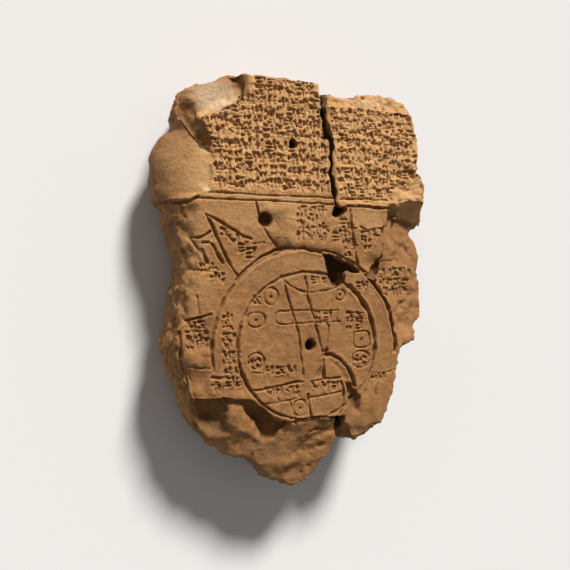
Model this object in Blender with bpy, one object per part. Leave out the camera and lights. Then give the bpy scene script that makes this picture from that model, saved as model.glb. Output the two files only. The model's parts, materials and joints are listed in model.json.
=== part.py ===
"""A rejoined clay tablet, lying on its back with the written face up.

The drawing below is in millimetres of the drawing, measured from the compass hole in the face:
x to the reader's right, y towards the top of the tablet. The whole drawing is scaled to HEIGHT.
Depths and groove sizes are real ones, in metres, measured down from the crowned face.
"""

import math
import random

import bmesh
import bpy
from mathutils import Matrix, Vector

MM = 0.001

# The whole tablet
HEIGHT = 122.0 * MM
THICKNESS = 26.0 * MM
FACE_CROWN = 1.2 * MM
BACK_CROWN = 1.0 * MM
BACK_ROLL = 5.0 * MM
BACK_ROLL_SHARE = 0.6
REST_INSET = 17.0 * MM
REST_ROLL_SHARE = 0.3
EDGE_STEPS = 4
FACE_RINGS = 3

# Ruled lines, rings and holes
RULE_WIDTH = 0.7 * MM
RULE_DEPTH = 0.55 * MM
RING_WIDTH = 1.0 * MM
RING_DEPTH = 0.8 * MM
RING_CENTRE = (-0.8, -0.6)
INNER_RING = 21.8 * MM
OUTER_RING = 29.0 * MM
RING_SIDES = 56
DOT_RING_WIDTH = 0.6 * MM
DOT_RING_DEPTH = 0.4 * MM
DOT_RING_SIDES = 14
COMPASS_HOLE = 1.6 * MM
TEXT_HOLE = 1.35 * MM
EDGE_HOLE = 1.9 * MM
HOLE_DEPTH = 4.5 * MM
HOLE_TAPER = 0.7
HOLE_SIDES = 12
TEXT_HOLE_AT = (-5.5, 61.5)
EDGE_HOLE_AT = (-14.5, 38.4)

# Written rows
STROKE_STEP = 2.3 * MM
STROKE_LENGTH = 2.1 * MM
STROKE_WIDTH = 1.3 * MM
STROKE_DEPTH = 0.9 * MM
STROKE_CLEAR = 0.2 * MM
STROKE_DRIFT = 0.2 * MM
SHORTEST_STROKE = 0.8
STROKE_SPREAD = 1.5
LEFT_ROW_START = 48.7
LEFT_ROW_STEP = 4.05
LEFT_ROW_NARROWING = 0.066
RIGHT_ROW_START = 47.3
RIGHT_ROW_STEP = 3.1
LEANS = (0.0, -math.pi / 2, -math.pi / 2, -math.pi / 4, math.pi / 4)

# Mended breaks
CRACK_WIDTH = 2.2 * MM
CRACK_DEPTH = 5.0 * MM
HAIR_WIDTH = 1.0 * MM
HAIR_DEPTH = 1.2 * MM
TROUGH_WIDTH = 3.2 * MM
OVERSHOOT = 0.5 * MM
LOST_RISE = 3.6 * MM

# The widest line round the tablet, clockwise: x, y and how far the edge rolls in to the face
OUTLINE = [
    (-40.7, 65.9, 9.0), (-40.6, 70.0, 6.0), (-39.3, 74.2, 4.0), (-37.3, 76.9, 3.0),
    (-34.0, 79.2, 2.5), (-30.0, 79.7, 2.0), (-23.7, 82.0, 1.5), (-15.0, 82.1, 1.3),
    (-5.0, 82.0, 1.3), (1.6, 81.6, 1.3), (3.9, 80.2, 1.0), (4.9, 77.6, 1.0),
    (9.4, 78.0, 1.2), (15.8, 77.2, 1.2), (17.7, 79.6, 1.2), (23.4, 79.5, 1.2),
    (32.9, 78.3, 1.2), (35.0, 77.2, 1.2), (36.2, 75.0, 1.2), (37.3, 71.2, 1.2),
    (38.2, 66.3, 1.2), (38.5, 62.8, 1.2), (38.0, 61.2, 1.2), (38.7, 57.2, 1.2),
    (38.6, 55.2, 1.2), (40.7, 53.8, 1.2), (41.0, 44.2, 1.2), (42.0, 38.6, 1.5),
    (41.3, 36.9, 1.5), (38.4, 35.5, 1.5), (41.0, 31.5, 3.0), (41.3, 24.5, 3.0),
    (41.1, 18.2, 3.0), (41.5, 11.6, 3.0), (40.5, 8.2, 2.5), (39.2, 5.4, 2.0),
    (38.6, 0.6, 2.0), (34.9, -1.4, 2.0), (32.0, -2.6, 1.5), (31.0, -7.4, 1.5),
    (29.3, -15.2, 2.0), (26.9, -21.2, 2.0), (24.4, -26.2, 2.5), (19.2, -29.8, 3.0),
    (15.9, -31.3, 3.0), (12.9, -27.4, 3.0), (11.5, -29.7, 4.0), (9.6, -32.8, 4.0),
    (6.0, -37.8, 4.0), (2.6, -41.6, 4.0), (-2.4, -44.8, 5.0), (-7.6, -43.4, 5.0),
    (-12.0, -41.7, 5.0), (-15.6, -37.6, 5.0), (-18.4, -35.6, 5.0), (-23.5, -34.6, 5.0),
    (-26.1, -31.8, 5.0), (-31.0, -29.0, 5.0), (-34.0, -25.6, 5.0), (-37.0, -20.0, 5.0),
    (-38.9, -14.0, 5.0), (-41.3, -7.4, 6.0), (-43.7, -1.4, 6.0), (-44.0, 1.6, 6.5),
    (-42.6, 4.2, 7.0), (-41.9, 10.0, 8.0), (-41.0, 16.0, 8.0), (-39.5, 20.4, 7.0),
    (-39.3, 25.4, 7.0), (-41.2, 30.0, 8.0), (-42.3, 35.7, 8.5), (-43.7, 41.2, 10.5),
    (-46.5, 44.8, 13.0), (-47.2, 48.7, 15.5), (-47.0, 56.0, 15.5), (-45.8, 59.6, 15.0),
    (-43.7, 63.2, 12.0),
]
MIDDLE = (-2.0, 38.0)
CROWN_SPAN = (46.0, 64.0)
CROWN_TOP = (-3.0, 20.0)
CROWN_LIMIT = 1.6

DRAWN_HEIGHT = max(p[1] for p in OUTLINE) - min(p[1] for p in OUTLINE)
UNIT = HEIGHT / DRAWN_HEIGHT
MID_X = (max(p[0] for p in OUTLINE) + min(p[0] for p in OUTLINE)) / 2
MID_Y = (max(p[1] for p in OUTLINE) + min(p[1] for p in OUTLINE)) / 2

# Lost surface, each as rim points (x, y, depth in mm) and its deepest point
LOST = {
    "top left break": (
        [(-19.5, 85, 0.3), (-20.5, 75.5, 0.7), (-24, 72.5, 0.9), (-29, 69.2, 1.0), (-34, 68.5, 1.6),
         (-31.2, 61, 1.2), (-33, 58.7, 1.6), (-36, 60.3, 2.6), (-38, 63.8, 3.8), (-41, 66.3, 6.0),
         (-48, 66.5, 9.0), (-48, 80, 11.0), (-34, 86, 7.0)],
        (-33.5, 73.5, 4.2)),
    "top ledge": (
        [(4.5, 73.9, 1.8), (20, 74.0, 1.8), (36.5, 73.3, 1.8), (38, 84, 2.6), (3.4, 84, 2.6)],
        (20, 78, 2.2)),
    "break under the upper block": (
        [(27, 43.8, 0.4), (30, 44.2, 0.5), (33, 45.2, 0.6), (36, 45.6, 0.8), (44, 44.0, 1.5),
         (44, 34.0, 7.5), (35, 37.3, 6.8), (31, 39.9, 5.4), (27, 40.0, 3.8)],
        (34, 41.5, 4.2)),
    "sunk right edge": (
        [(26.9, 40.6, 3.6), (26.3, 36.0, 2.6), (25.3, 32.0, 2.0), (24.0, 26.0, 2.2), (22.6, 19.5, 1.2),
         (25.4, 14.9, 0.8), (27.8, 10.5, 0.7), (29.3, 6.0, 0.7), (30.3, 1.0, 0.8), (34, -3, 1.6),
         (46, -3, 3.5), (46, 37, 7.0), (35, 39.0, 6.4)],
        (32.5, 21, 3.4)),
    "deep pit": (
        [(3.4, 28.3, 4.6), (9.0, 27.6, 5.2), (13.6, 25.3, 4.0), (17.3, 22.0, 2.6), (14.2, 22.0, 2.8),
         (11.5, 22.3, 4.6), (11.2, 20.0, 5.2), (10.0, 18.4, 5.0), (7.4, 18.1, 5.2), (6.0, 20.5, 5.8),
         (5.0, 24.5, 5.8)],
        (8.0, 23.6, 6.6)),
    "gap below the wedge piece": (
        [(17.6, 21.8, 2.4), (20.2, 22.9, 3.4), (23.4, 26.8, 3.2), (25.2, 28.6, 2.4), (25.6, 27.6, 2.2),
         (23.6, 23.4, 3.0), (21.7, 21.2, 2.6), (19.5, 20.3, 1.6)],
        (21.6, 23.0, 4.4)),
    "corner hole": (
        [(7.2, 39.9, 5.0), (8.3, 43.4, 5.4), (12.5, 42.8, 4.2), (11.8, 41.3, 4.6), (10.0, 39.7, 4.8),
         (8.6, 39.2, 4.8)],
        (9.4, 41.4, 6.4)),
    "notch beside the wedge piece": (
        [(26.4, 36.8, 1.8), (24.1, 36.4, 1.2), (25.1, 33.2, 1.6), (26.2, 33.6, 2.2)],
        (25.6, 35.2, 3.2)),
    "smooth bulge": (
        [(-30.9, 46.2, 0.7), (-30.6, 57.6, 0.8), (-33.2, 59.4, 1.0), (-37.0, 62.6, 1.4),
         (-40.5, 66.4, 3.2), (-52, 66.0, 6.0), (-52, 43.6, 6.0), (-44.0, 43.6, 2.6), (-36.0, 44.4, 0.9)],
        (-37.0, 52.0, 1.2)),
    "step under the bulge": (
        [(-36.4, 43.2, 0.9), (-52, 43.4, 6.0), (-52, 35.0, 6.0), (-41.3, 35.0, 1.6), (-36.8, 37.2, 0.6),
         (-35.2, 40.0, 0.7)],
        (-38.6, 40.2, 2.8)),
    "left label bed": (
        [(-38.8, 7.8, 0.7), (-31.2, 9.6, 0.9), (-31.0, 0.5, 0.5), (-38.6, -0.8, 0.6)],
        (-35.4, 4.2, 1.0)),
    "lower left bed": (
        [(-40.5, -5.5, 1.0), (-31.2, -5.8, 0.7), (-31.2, -13.8, 0.6), (-38.5, -13.6, 1.0)],
        (-36.0, -9.5, 1.4)),
    "lost foot": (
        [(-50, -11.0, 5.0), (-36, -15.2, 1.6), (-29, -15.0, 1.8), (-25, -14.8, 1.6), (-18, -16.6, 1.6),
         (-12, -21.0, 1.4), (-7, -23.3, 0.9), (3, -22.7, 0.8), (8.4, -23.2, 0.9), (13.5, -29.0, 2.6),
         (12, -40, 4.4), (0, -50, 6.5), (-16, -50, 7.0), (-34, -38, 7.0), (-50, -24, 7.0)],
        (-14, -30, 2.8)),
    "left hollow": (
        [(-35.6, -16.0, 2.2), (-31, -15.2, 2.6), (-27.2, -15.6, 3.0), (-26.4, -19, 4.4),
         (-27, -24, 4.2), (-31, -26, 4.4), (-35, -22.6, 4.4)],
        (-31, -20.3, 6.4)),
    "right hollow": (
        [(-24.2, -15.4, 2.0), (-18, -16.9, 3.0), (-14, -19.8, 4.0), (-9.6, -22.9, 4.6),
         (-7.2, -23.5, 3.0), (-9, -26, 4.0), (-11, -28.3, 4.4), (-14.5, -29.1, 4.6),
         (-18, -26.4, 4.6), (-20.6, -20.2, 3.4)],
        (-15, -23, 7.2)),
    "lower gap": (
        [(8.4, -22.4, 4.0), (12.5, -21.8, 4.0), (11.6, -24.6, 7.0), (12.6, -31.5, 9.0),
         (10.0, -31.5, 9.0), (9.0, -24.6, 7.0)],
        (10.6, -25.4, 9.0)),
    "arc ledge": (
        [(5.6, -4.2, 0.6), (8.8, -5.4, 0.8), (11.6, -8.0, 0.8), (12.8, -10.2, 0.7),
         (10.4, -10.0, 0.4), (8.2, -6.6, 0.4)],
        (9.6, -7.0, 1.0)),
    "line bed": (
        [(0.6, -10.0, 0.5), (2.4, -7.6, 0.6), (4.3, -6.0, 0.7), (4.6, -10.2, 0.9)],
        (3.6, -8.8, 1.4)),
}

# Cracks of the mends: path, width and depth
CRACKS = [
    ([(3.9, 86.0), (4.5, 75.0), (5.2, 69.0), (5.6, 65.2)], CRACK_WIDTH, CRACK_DEPTH),
    ([(6.9, 64.2), (7.4, 60.0), (7.2, 55.0), (7.6, 49.0), (8.4, 45.5), (9.2, 42.8)],
     CRACK_WIDTH, CRACK_DEPTH),
    ([(-16.9, 42.4), (-15.4, 36.2), (-12.4, 32.0), (-9.0, 28.9), (-4.5, 29.2), (0.0, 28.8), (3.8, 28.1)],
     HAIR_WIDTH, HAIR_DEPTH),
    ([(13.1, 42.4), (13.9, 37.0), (14.8, 31.0), (15.9, 25.2)], HAIR_WIDTH, HAIR_DEPTH),
    ([(3.9, -3.6), (7.0, -3.2), (9.6, -4.5), (12.2, -7.0), (14.0, -9.8), (15.1, -13.2)],
     HAIR_WIDTH, HAIR_DEPTH),
    ([(12.6, -10.8), (13.2, -15.5), (15.4, -21.6)], TROUGH_WIDTH, HAIR_DEPTH),
    ([(-0.6, -15.6), (-0.2, -18.6), (0.4, -22.6)], HAIR_WIDTH, HAIR_DEPTH),
    ([(-36.0, -14.9), (-29.0, -14.9), (-24.5, -14.7), (-18.4, -16.3), (-12.0, -20.8), (-6.8, -23.2),
      (0.5, -22.7), (8.6, -22.9)], HAIR_WIDTH, HAIR_DEPTH),
    ([(10.9, -13.2), (11.1, -18.6), (10.2, -21.6)], RULE_WIDTH, HAIR_DEPTH),
    ([(17.0, 36.4), (19.2, 35.4), (22.0, 36.1), (24.3, 36.3)], RULE_WIDTH, RULE_DEPTH),
]

# Ruled lines of the drawing and between its parts
RULES = [
    [(-32.4, 45.7), (-18.0, 45.5), (8.4, 45.2)],
    [(-34.6, 43.8), (-18.0, 43.6), (8.6, 43.4)],
    [(10.2, 45.0), (26.6, 45.2)],
    [(10.6, 43.0), (26.8, 42.8)],
    [(-33.0, 39.0), (-30.4, 34.4), (-27.9, 28.8), (-23.4, 21.2)],
    [(-33.0, 39.0), (-25.0, 35.0), (-18.8, 31.9)],
    [(-36.9, 32.2), (-33.2, 32.7), (-31.2, 34.0)],
    [(-35.2, 30.6), (-31.9, 25.2)],
    [(-31.2, 30.0), (-27.4, 24.4)],
    [(-9.9, 21.2), (-7.0, 18.6), (-1.5, 16.2), (3.0, 16.3), (10.4, 18.2)],
    [(-8.9, 19.4), (-5.5, 9.0), (-3.4, 1.0), (-2.2, -10.8)],
    [(-1.7, 21.0), (-1.0, 15.0), (1.2, 8.0), (3.2, 0.0), (4.3, -3.2)],
    [(5.5, 7.2), (6.0, 5.2), (5.3, -2.0)],
    [(4.2, -4.0), (4.6, -10.4)],
    [(9.0, 10.4), (-10.2, 10.4)],
    [(-10.2, 10.4), (-11.4, 8.5), (-10.2, 6.6)],
    [(-10.2, 6.6), (9.6, 7.0)],
    [(7.3, 17.0), (7.2, 11.0)],
    [(8.9, 10.6), (8.7, 7.2)],
    [(-15.4, -12.9), (-8.0, -11.9), (0.0, -11.0), (10.6, -10.2)],
    [(-14.4, -17.3), (-3.2, -16.3), (0.4, -16.0), (10.6, -14.9)],
    [(-15.2, -8.9), (-3.0, -9.2)],
    [(-6.4, -17.2), (-4.9, -21.9)],
    [(21.2, -9.6), (18.0, -16.4)],
    [(-38.6, 8.2), (-31.2, 9.9)],
    [(-40.0, 23.0), (-30.4, 22.2)],
    [(25.0, 15.6), (34.0, 16.0)],
]

# Small rings with a dot, as x, y and radius in mm
DOT_RINGS = [
    (-12.8, 14.9, 2.1), (-17.5, 7.9, 2.4), (-17.4, -4.4, 2.3), (17.2, 1.4, 2.4),
    (17.0, -5.4, 2.6), (-3.3, -19.2, 2.2), (9.8, 14.6, 1.5),
]

# Writing: x where each row's strokes begin and end, from the lowest row of each block up. Short rows
# have their y as well.
LEFT_ROWS = [
    (-29.6, 6.2), (-30.0, 5.8), (-30.2, 5.6), (-31.0, 5.4), (-33.0, 4.8), (-33.4, 4.2), (-26.4, 3.8),
    (-21.8, 3.4), (-16.8, 3.2), (-16.6, 3.0),
]
RIGHT_ROWS = [
    (10.2, 26.0), (9.8, 27.0), (9.2, 36.0), (9.2, 36.6), (9.6, 36.6), (10.0, 36.0), (7.6, 36.0),
    (7.2, 35.4), (7.0, 34.6),
]
SHORT_ROWS = [
    (-4.0, 5.0, 40.9), (-4.2, 5.4, 37.2), (-3.6, 5.0, 33.6), (9.6, 13.0, 37.0), (9.8, 14.2, 33.2),
    (11.4, 14.4, 29.4), (17.6, 22.4, 33.6), (18.4, 20.8, 30.6), (-27.6, -25.0, 33.2),
    (-24.8, -19.6, 30.2), (-32.6, -28.2, 21.9), (-37.2, -32.0, 5.6), (-37.4, -31.8, 1.9),
    (-26.8, -24.4, 7.6), (-27.0, -24.4, 4.4), (-27.0, -24.4, 1.2), (-27.0, -24.6, -2.2),
    (-26.8, -24.4, -5.6), (-26.2, -23.4, -9.0), (-13.6, -4.4, -7.2), (-13.2, -2.2, -14.0),
    (1.4, 9.4, -12.6), (0.4, 5.6, 19.4), (2.4, 7.8, 8.8), (12.4, 17.4, 7.6), (15.6, 20.8, 18.2),
    (25.6, 35.0, 21.8), (25.8, 35.0, 18.4), (22.4, 25.8, -11.4), (-18.0, -16.0, 13.6),
    (-30.0, -26.2, -12.0),
]


def clear_scene():
    for obj in list(bpy.data.objects):
        bpy.data.objects.remove(obj, do_unlink=True)


def collection(name, shown):
    made = bpy.data.collections.new(name)
    made.hide_render = not shown
    bpy.context.scene.collection.children.link(made)
    return made


def clay():
    mat = bpy.data.materials.new("fired clay")
    mat.use_nodes = True
    shader = mat.node_tree.nodes["Principled BSDF"]
    shader.inputs["Base Color"].default_value = (0.40, 0.235, 0.11, 1.0)
    shader.inputs["Roughness"].default_value = 0.82
    shader.inputs["Metallic"].default_value = 0.0
    return mat


def spot(x, y, z=0.0):
    """A drawing point in the tablet's own frame, z measured from the bottom in metres."""
    return Vector(((x - MID_X) * UNIT, (y - MID_Y) * UNIT, z))


def crown(point):
    """How far the crowned face lies below its highest point."""
    top = spot(*CROWN_TOP)
    across = (point.x - top.x) / (CROWN_SPAN[0] * UNIT)
    along = (point.y - top.y) / (CROWN_SPAN[1] * UNIT)
    return -FACE_CROWN * min(CROWN_LIMIT, across * across + along * along)


def inwards(x, y, distance):
    """The drawing point moved towards the middle by a real distance."""
    start = spot(x, y)
    pull = spot(*MIDDLE) - start
    return start + pull.normalized() * distance


def section(bm, points):
    """A flat face with its corners at the points."""
    made = bmesh.ops.create_circle(bm, cap_ends=True, segments=len(points), radius=1.0)
    face = made["verts"][0].link_faces[0]
    for vert, point in zip(face.verts, points):
        vert.co = point
    return face


def stretch(bm, face, points, keep=False):
    """Extrudes the face to new places for its corners, and leaves a copy behind only to close an end."""
    region = [face] if keep else [face, *face.edges]
    made = bmesh.ops.extrude_face_region(bm, geom=region, use_keep_orig=keep)
    moved = next(item for item in made["geom"] if isinstance(item, bmesh.types.BMFace))
    for vert, point in zip(moved.verts, points):
        vert.co = point
    return moved


def finish(bm, name, home, material=None):
    bmesh.ops.recalc_face_normals(bm, faces=bm.faces)
    mesh = bpy.data.meshes.new(name)
    bm.to_mesh(mesh)
    bm.free()
    obj = bpy.data.objects.new(name, mesh)
    home.objects.link(obj)
    if material:
        mesh.materials.append(material)
    return obj


def edge_ring(roll_of, lift, turn):
    """The outline rolled in along a quarter ellipse, where turn goes from 0 to 90 degrees."""
    ring = []
    for x, y, roll in OUTLINE:
        point = inwards(x, y, roll_of(roll) * (1 - math.cos(turn)))
        ring.append(Vector((point.x, point.y, lift(point))))
    return ring


def tablet_body(home, material):
    middle = THICKNESS / 2
    turns = [math.radians(90 * step / EDGE_STEPS) for step in range(EDGE_STEPS + 1)]

    def back_roll(roll):
        return BACK_ROLL + BACK_ROLL_SHARE * roll * MM

    def front_roll(roll):
        return roll * MM

    bm = bmesh.new()
    rest = [inwards(x, y, REST_INSET + REST_ROLL_SHARE * roll * MM) for x, y, roll in OUTLINE]
    cap = section(bm, rest)
    first = True
    for turn in reversed(turns[1:]):
        height = middle - (middle - BACK_CROWN) * math.sin(turn)
        ring = edge_ring(back_roll, lambda point, height=height: height, turn)
        cap = stretch(bm, cap, ring, keep=first)
        first = False
    for turn in turns:
        rise = math.sin(turn)
        ring = edge_ring(
            front_roll,
            lambda point, rise=rise: middle + (THICKNESS + crown(point) - middle) * rise,
            turn,
        )
        cap = stretch(bm, cap, ring)
    hub = spot(*MIDDLE)
    for step in range(1, FACE_RINGS):
        share = step / FACE_RINGS
        inner = [point.lerp(hub, share) for point in ring]
        for point in inner:
            point.z = THICKNESS + crown(point)
        cap = stretch(bm, cap, inner)
    peak = bmesh.ops.poke(bm, faces=[cap])["verts"][0]
    peak.co.z = THICKNESS + crown(peak.co)
    return finish(bm, "tablet", home, material)


def settle(bm):
    """Lays a cutter drawn on a flat face onto the crowned one."""
    for vert in bm.verts:
        vert.co.z += THICKNESS + crown(vert.co)


def cutter(bm, name, home):
    settle(bm)
    obj = finish(bm, name, home)
    obj.hide_render = True
    obj.display_type = "WIRE"
    return obj


def cut_lost(name, rim, deepest, home):
    bm = bmesh.new()
    floor = section(bm, [spot(x, y, -depth * MM) for x, y, depth in rim])
    stretch(bm, floor, [spot(x, y, LOST_RISE) for x, y, depth in rim], keep=True)
    bottom = bmesh.ops.poke(bm, faces=[floor])["verts"][0]
    bottom.co = spot(deepest[0], deepest[1], -deepest[2] * MM)
    return cutter(bm, name, home)


def channel_section(before, here, after, width, depth):
    along = (after - before).normalized()
    side = Vector((-along.y, along.x, 0)) * (width / 2) * (1 + OVERSHOOT / depth)
    up = Vector((0, 0, OVERSHOOT))
    return [here + side + up, here - side + up, here - Vector((0, 0, depth))]


def cut_channel(name, path, width, depth, home):
    points = [spot(x, y) for x, y in path]
    count = len(points)
    sections = [
        channel_section(points[max(i - 1, 0)], points[i], points[min(i + 1, count - 1)], width, depth)
        for i in range(count)
    ]
    bm = bmesh.new()
    face = section(bm, sections[0])
    for index, corners in enumerate(sections[1:]):
        face = stretch(bm, face, corners, keep=index == 0)
    return cutter(bm, name, home)


def cut_ring(name, centre, radius, width, depth, sides, home):
    bm = bmesh.new()
    half = (width / 2) * (1 + OVERSHOOT / depth)
    corners = [(radius - half, OVERSHOOT), (radius + half, OVERSHOOT), (radius, -depth)]
    verts = [bm.verts.new(centre + Vector((r, 0, z))) for r, z in corners]
    edges = [bm.edges.new((verts[i], verts[(i + 1) % 3])) for i in range(3)]
    bmesh.ops.spin(
        bm, geom=verts + edges, cent=centre, axis=(0, 0, 1), angle=math.tau, steps=sides, use_merge=True
    )
    return cutter(bm, name, home)


def cut_hole(name, centre, radius, depth, home):
    bm = bmesh.new()
    lift = Matrix.Translation(centre + Vector((0, 0, OVERSHOOT - depth / 2)))
    bmesh.ops.create_cone(
        bm, cap_ends=True, segments=HOLE_SIDES, radius1=radius * HOLE_TAPER, radius2=radius, depth=depth,
        matrix=lift,
    )
    return cutter(bm, name, home)


def add_stroke(bm, centre, length, lean):
    """A wedge pressed by a reed: three sides, pointing down, as long and wide as given at the face."""
    spread = (1 + STROKE_CLEAR / STROKE_DEPTH) / STROKE_SPREAD
    size = Matrix.Diagonal((length * spread, STROKE_WIDTH * spread, 1.0, 1.0))
    place = Matrix.Translation(centre + Vector((0, 0, (STROKE_CLEAR - STROKE_DEPTH) / 2)))
    bmesh.ops.create_cone(
        bm, cap_ends=True, segments=3, radius1=0.0, radius2=1.0, depth=STROKE_DEPTH + STROKE_CLEAR,
        matrix=place @ Matrix.Rotation(lean, 4, "Z") @ size,
    )


def cut_row(name, start, end, draw, home):
    bm = bmesh.new()
    count = max(1, round((end - start).length / STROKE_STEP))
    for index in range(count):
        share = (index + 0.5) / count
        centre = start.lerp(end, share)
        centre.y += draw.uniform(-STROKE_DRIFT, STROKE_DRIFT)
        add_stroke(bm, centre, STROKE_LENGTH * draw.uniform(SHORTEST_STROKE, 1.0), draw.choice(LEANS))
    return cutter(bm, name, home)


def left_row_height(row):
    """The rows of the left block stand a little closer towards the top."""
    return LEFT_ROW_START + LEFT_ROW_STEP * row - LEFT_ROW_NARROWING * row * row


def right_row_height(row):
    return RIGHT_ROW_START + RIGHT_ROW_STEP * row


def cut_writing(home):
    draw = random.Random(5)
    rows = [(*ends, left_row_height(row)) for row, ends in enumerate(LEFT_ROWS)]
    rows += [(*ends, right_row_height(row)) for row, ends in enumerate(RIGHT_ROWS)]
    for index, (first_x, last_x, y) in enumerate(rows + SHORT_ROWS):
        cut_row(f"row {index}", spot(first_x, y), spot(last_x, y), draw, home)


def cut_drawing(home):
    centre = spot(*RING_CENTRE)
    cut_ring("inner ring", centre, INNER_RING, RING_WIDTH, RING_DEPTH, RING_SIDES, home)
    cut_ring("outer ring", centre, OUTER_RING, RING_WIDTH, RING_DEPTH, RING_SIDES, home)
    for index, path in enumerate(RULES):
        cut_channel(f"rule {index}", path, RULE_WIDTH, RULE_DEPTH, home)
    for index, (x, y, radius) in enumerate(DOT_RINGS):
        middle = spot(x, y)
        cut_ring(
            f"dot ring {index}", middle, radius * UNIT, DOT_RING_WIDTH, DOT_RING_DEPTH,
            DOT_RING_SIDES, home,
        )
        cut_hole(f"dot {index}", middle, DOT_RING_WIDTH, DOT_RING_DEPTH + OVERSHOOT, home)


def main():
    clear_scene()
    parts = collection("clay tablet", True)
    cutters = collection("cutters", False)
    body = tablet_body(parts, clay())
    for name, (rim, deepest) in LOST.items():
        cut_lost(name, rim, deepest, cutters)
    for index, (path, width, depth) in enumerate(CRACKS):
        cut_channel(f"crack {index}", path, width, depth, cutters)
    cut_hole("compass hole", spot(0, 0), COMPASS_HOLE, HOLE_DEPTH, cutters)
    cut_hole("text hole", spot(*TEXT_HOLE_AT), TEXT_HOLE, HOLE_DEPTH, cutters)
    cut_hole("edge hole", spot(*EDGE_HOLE_AT), EDGE_HOLE, HOLE_DEPTH / 2, cutters)
    cut_drawing(cutters)
    cut_writing(cutters)
    carve = body.modifiers.new("carving", "BOOLEAN")
    carve.operation = "DIFFERENCE"
    carve.operand_type = "COLLECTION"
    carve.collection = cutters
    carve.solver = "EXACT"


main()
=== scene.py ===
"""The looks of a rejoined clay tablet that lies on its back.

Places on the face are in the units of its drawing, each a little under a millimetre, and start at the
compass hole, as they do in the solid: x to the reader's right, y towards the top. Depths are in
millimetres, and widths are in drawing units unless a comment says otherwise. The clay is one closed
mesh: a lofted slab, cut where flakes and joins are open, meshed evenly and fine, and then pressed in by
the written strokes.
"""

import json
import math
import random

import bmesh
import bpy
import numpy as np
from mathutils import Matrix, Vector

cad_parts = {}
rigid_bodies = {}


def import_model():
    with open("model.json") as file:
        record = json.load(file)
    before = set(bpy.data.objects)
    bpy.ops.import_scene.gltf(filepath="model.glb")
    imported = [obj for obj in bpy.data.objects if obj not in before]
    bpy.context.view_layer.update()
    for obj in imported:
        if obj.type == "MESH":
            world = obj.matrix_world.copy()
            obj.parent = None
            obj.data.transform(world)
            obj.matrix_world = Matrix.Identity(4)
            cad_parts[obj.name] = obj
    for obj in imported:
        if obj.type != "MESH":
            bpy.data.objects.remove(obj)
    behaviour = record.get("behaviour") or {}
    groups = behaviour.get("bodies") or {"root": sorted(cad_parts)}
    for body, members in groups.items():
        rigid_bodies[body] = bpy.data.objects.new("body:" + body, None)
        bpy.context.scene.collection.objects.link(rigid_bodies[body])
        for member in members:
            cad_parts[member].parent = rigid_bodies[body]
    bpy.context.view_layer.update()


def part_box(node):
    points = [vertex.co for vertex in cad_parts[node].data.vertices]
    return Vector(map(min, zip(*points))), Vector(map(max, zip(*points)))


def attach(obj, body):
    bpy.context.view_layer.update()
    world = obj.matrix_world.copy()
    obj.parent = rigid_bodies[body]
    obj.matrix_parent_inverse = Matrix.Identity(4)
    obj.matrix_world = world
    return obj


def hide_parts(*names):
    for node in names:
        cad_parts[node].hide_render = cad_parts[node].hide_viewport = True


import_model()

MM = 0.001

# The slab, with the sizes of the solid
NODE_LOW, NODE_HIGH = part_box("tablet")
HEIGHT = NODE_HIGH.y - NODE_LOW.y
THICKNESS = 26.0 * MM
FACE_CROWN = 1.2 * MM
CROWN_LIMIT = 1.6
BACK_CROWN = 1.0 * MM
BACK_ROLL = 5.0 * MM
BACK_ROLL_SHARE = 0.6
REST_INSET = 17.0 * MM
REST_ROLL_SHARE = 0.3
EDGE_STEPS = 8
FACE_RINGS = 12
SPLINE_STEPS = 3
STRAIGHT_SHARE, CURVED_SHARE = 0.35, 0.65

# The fine mesh: its cells, its most faces, how it is thinned out away from strokes, and its worn parts
VOXEL = 0.245 * MM
MOST_TRIANGLES = 197000
PLAIN_FACTOR = 1.0
FINE_DEPTHS = (0.05, 0.4)
FINE_CLASSES = 4
FINE_STEP = 0.2
SMOOTH_PASSES = 30
SMOOTH_FACTOR = 0.5
WORN_BELOW = 1.0
EDGE_WANDER = 0.35 * MM

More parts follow.
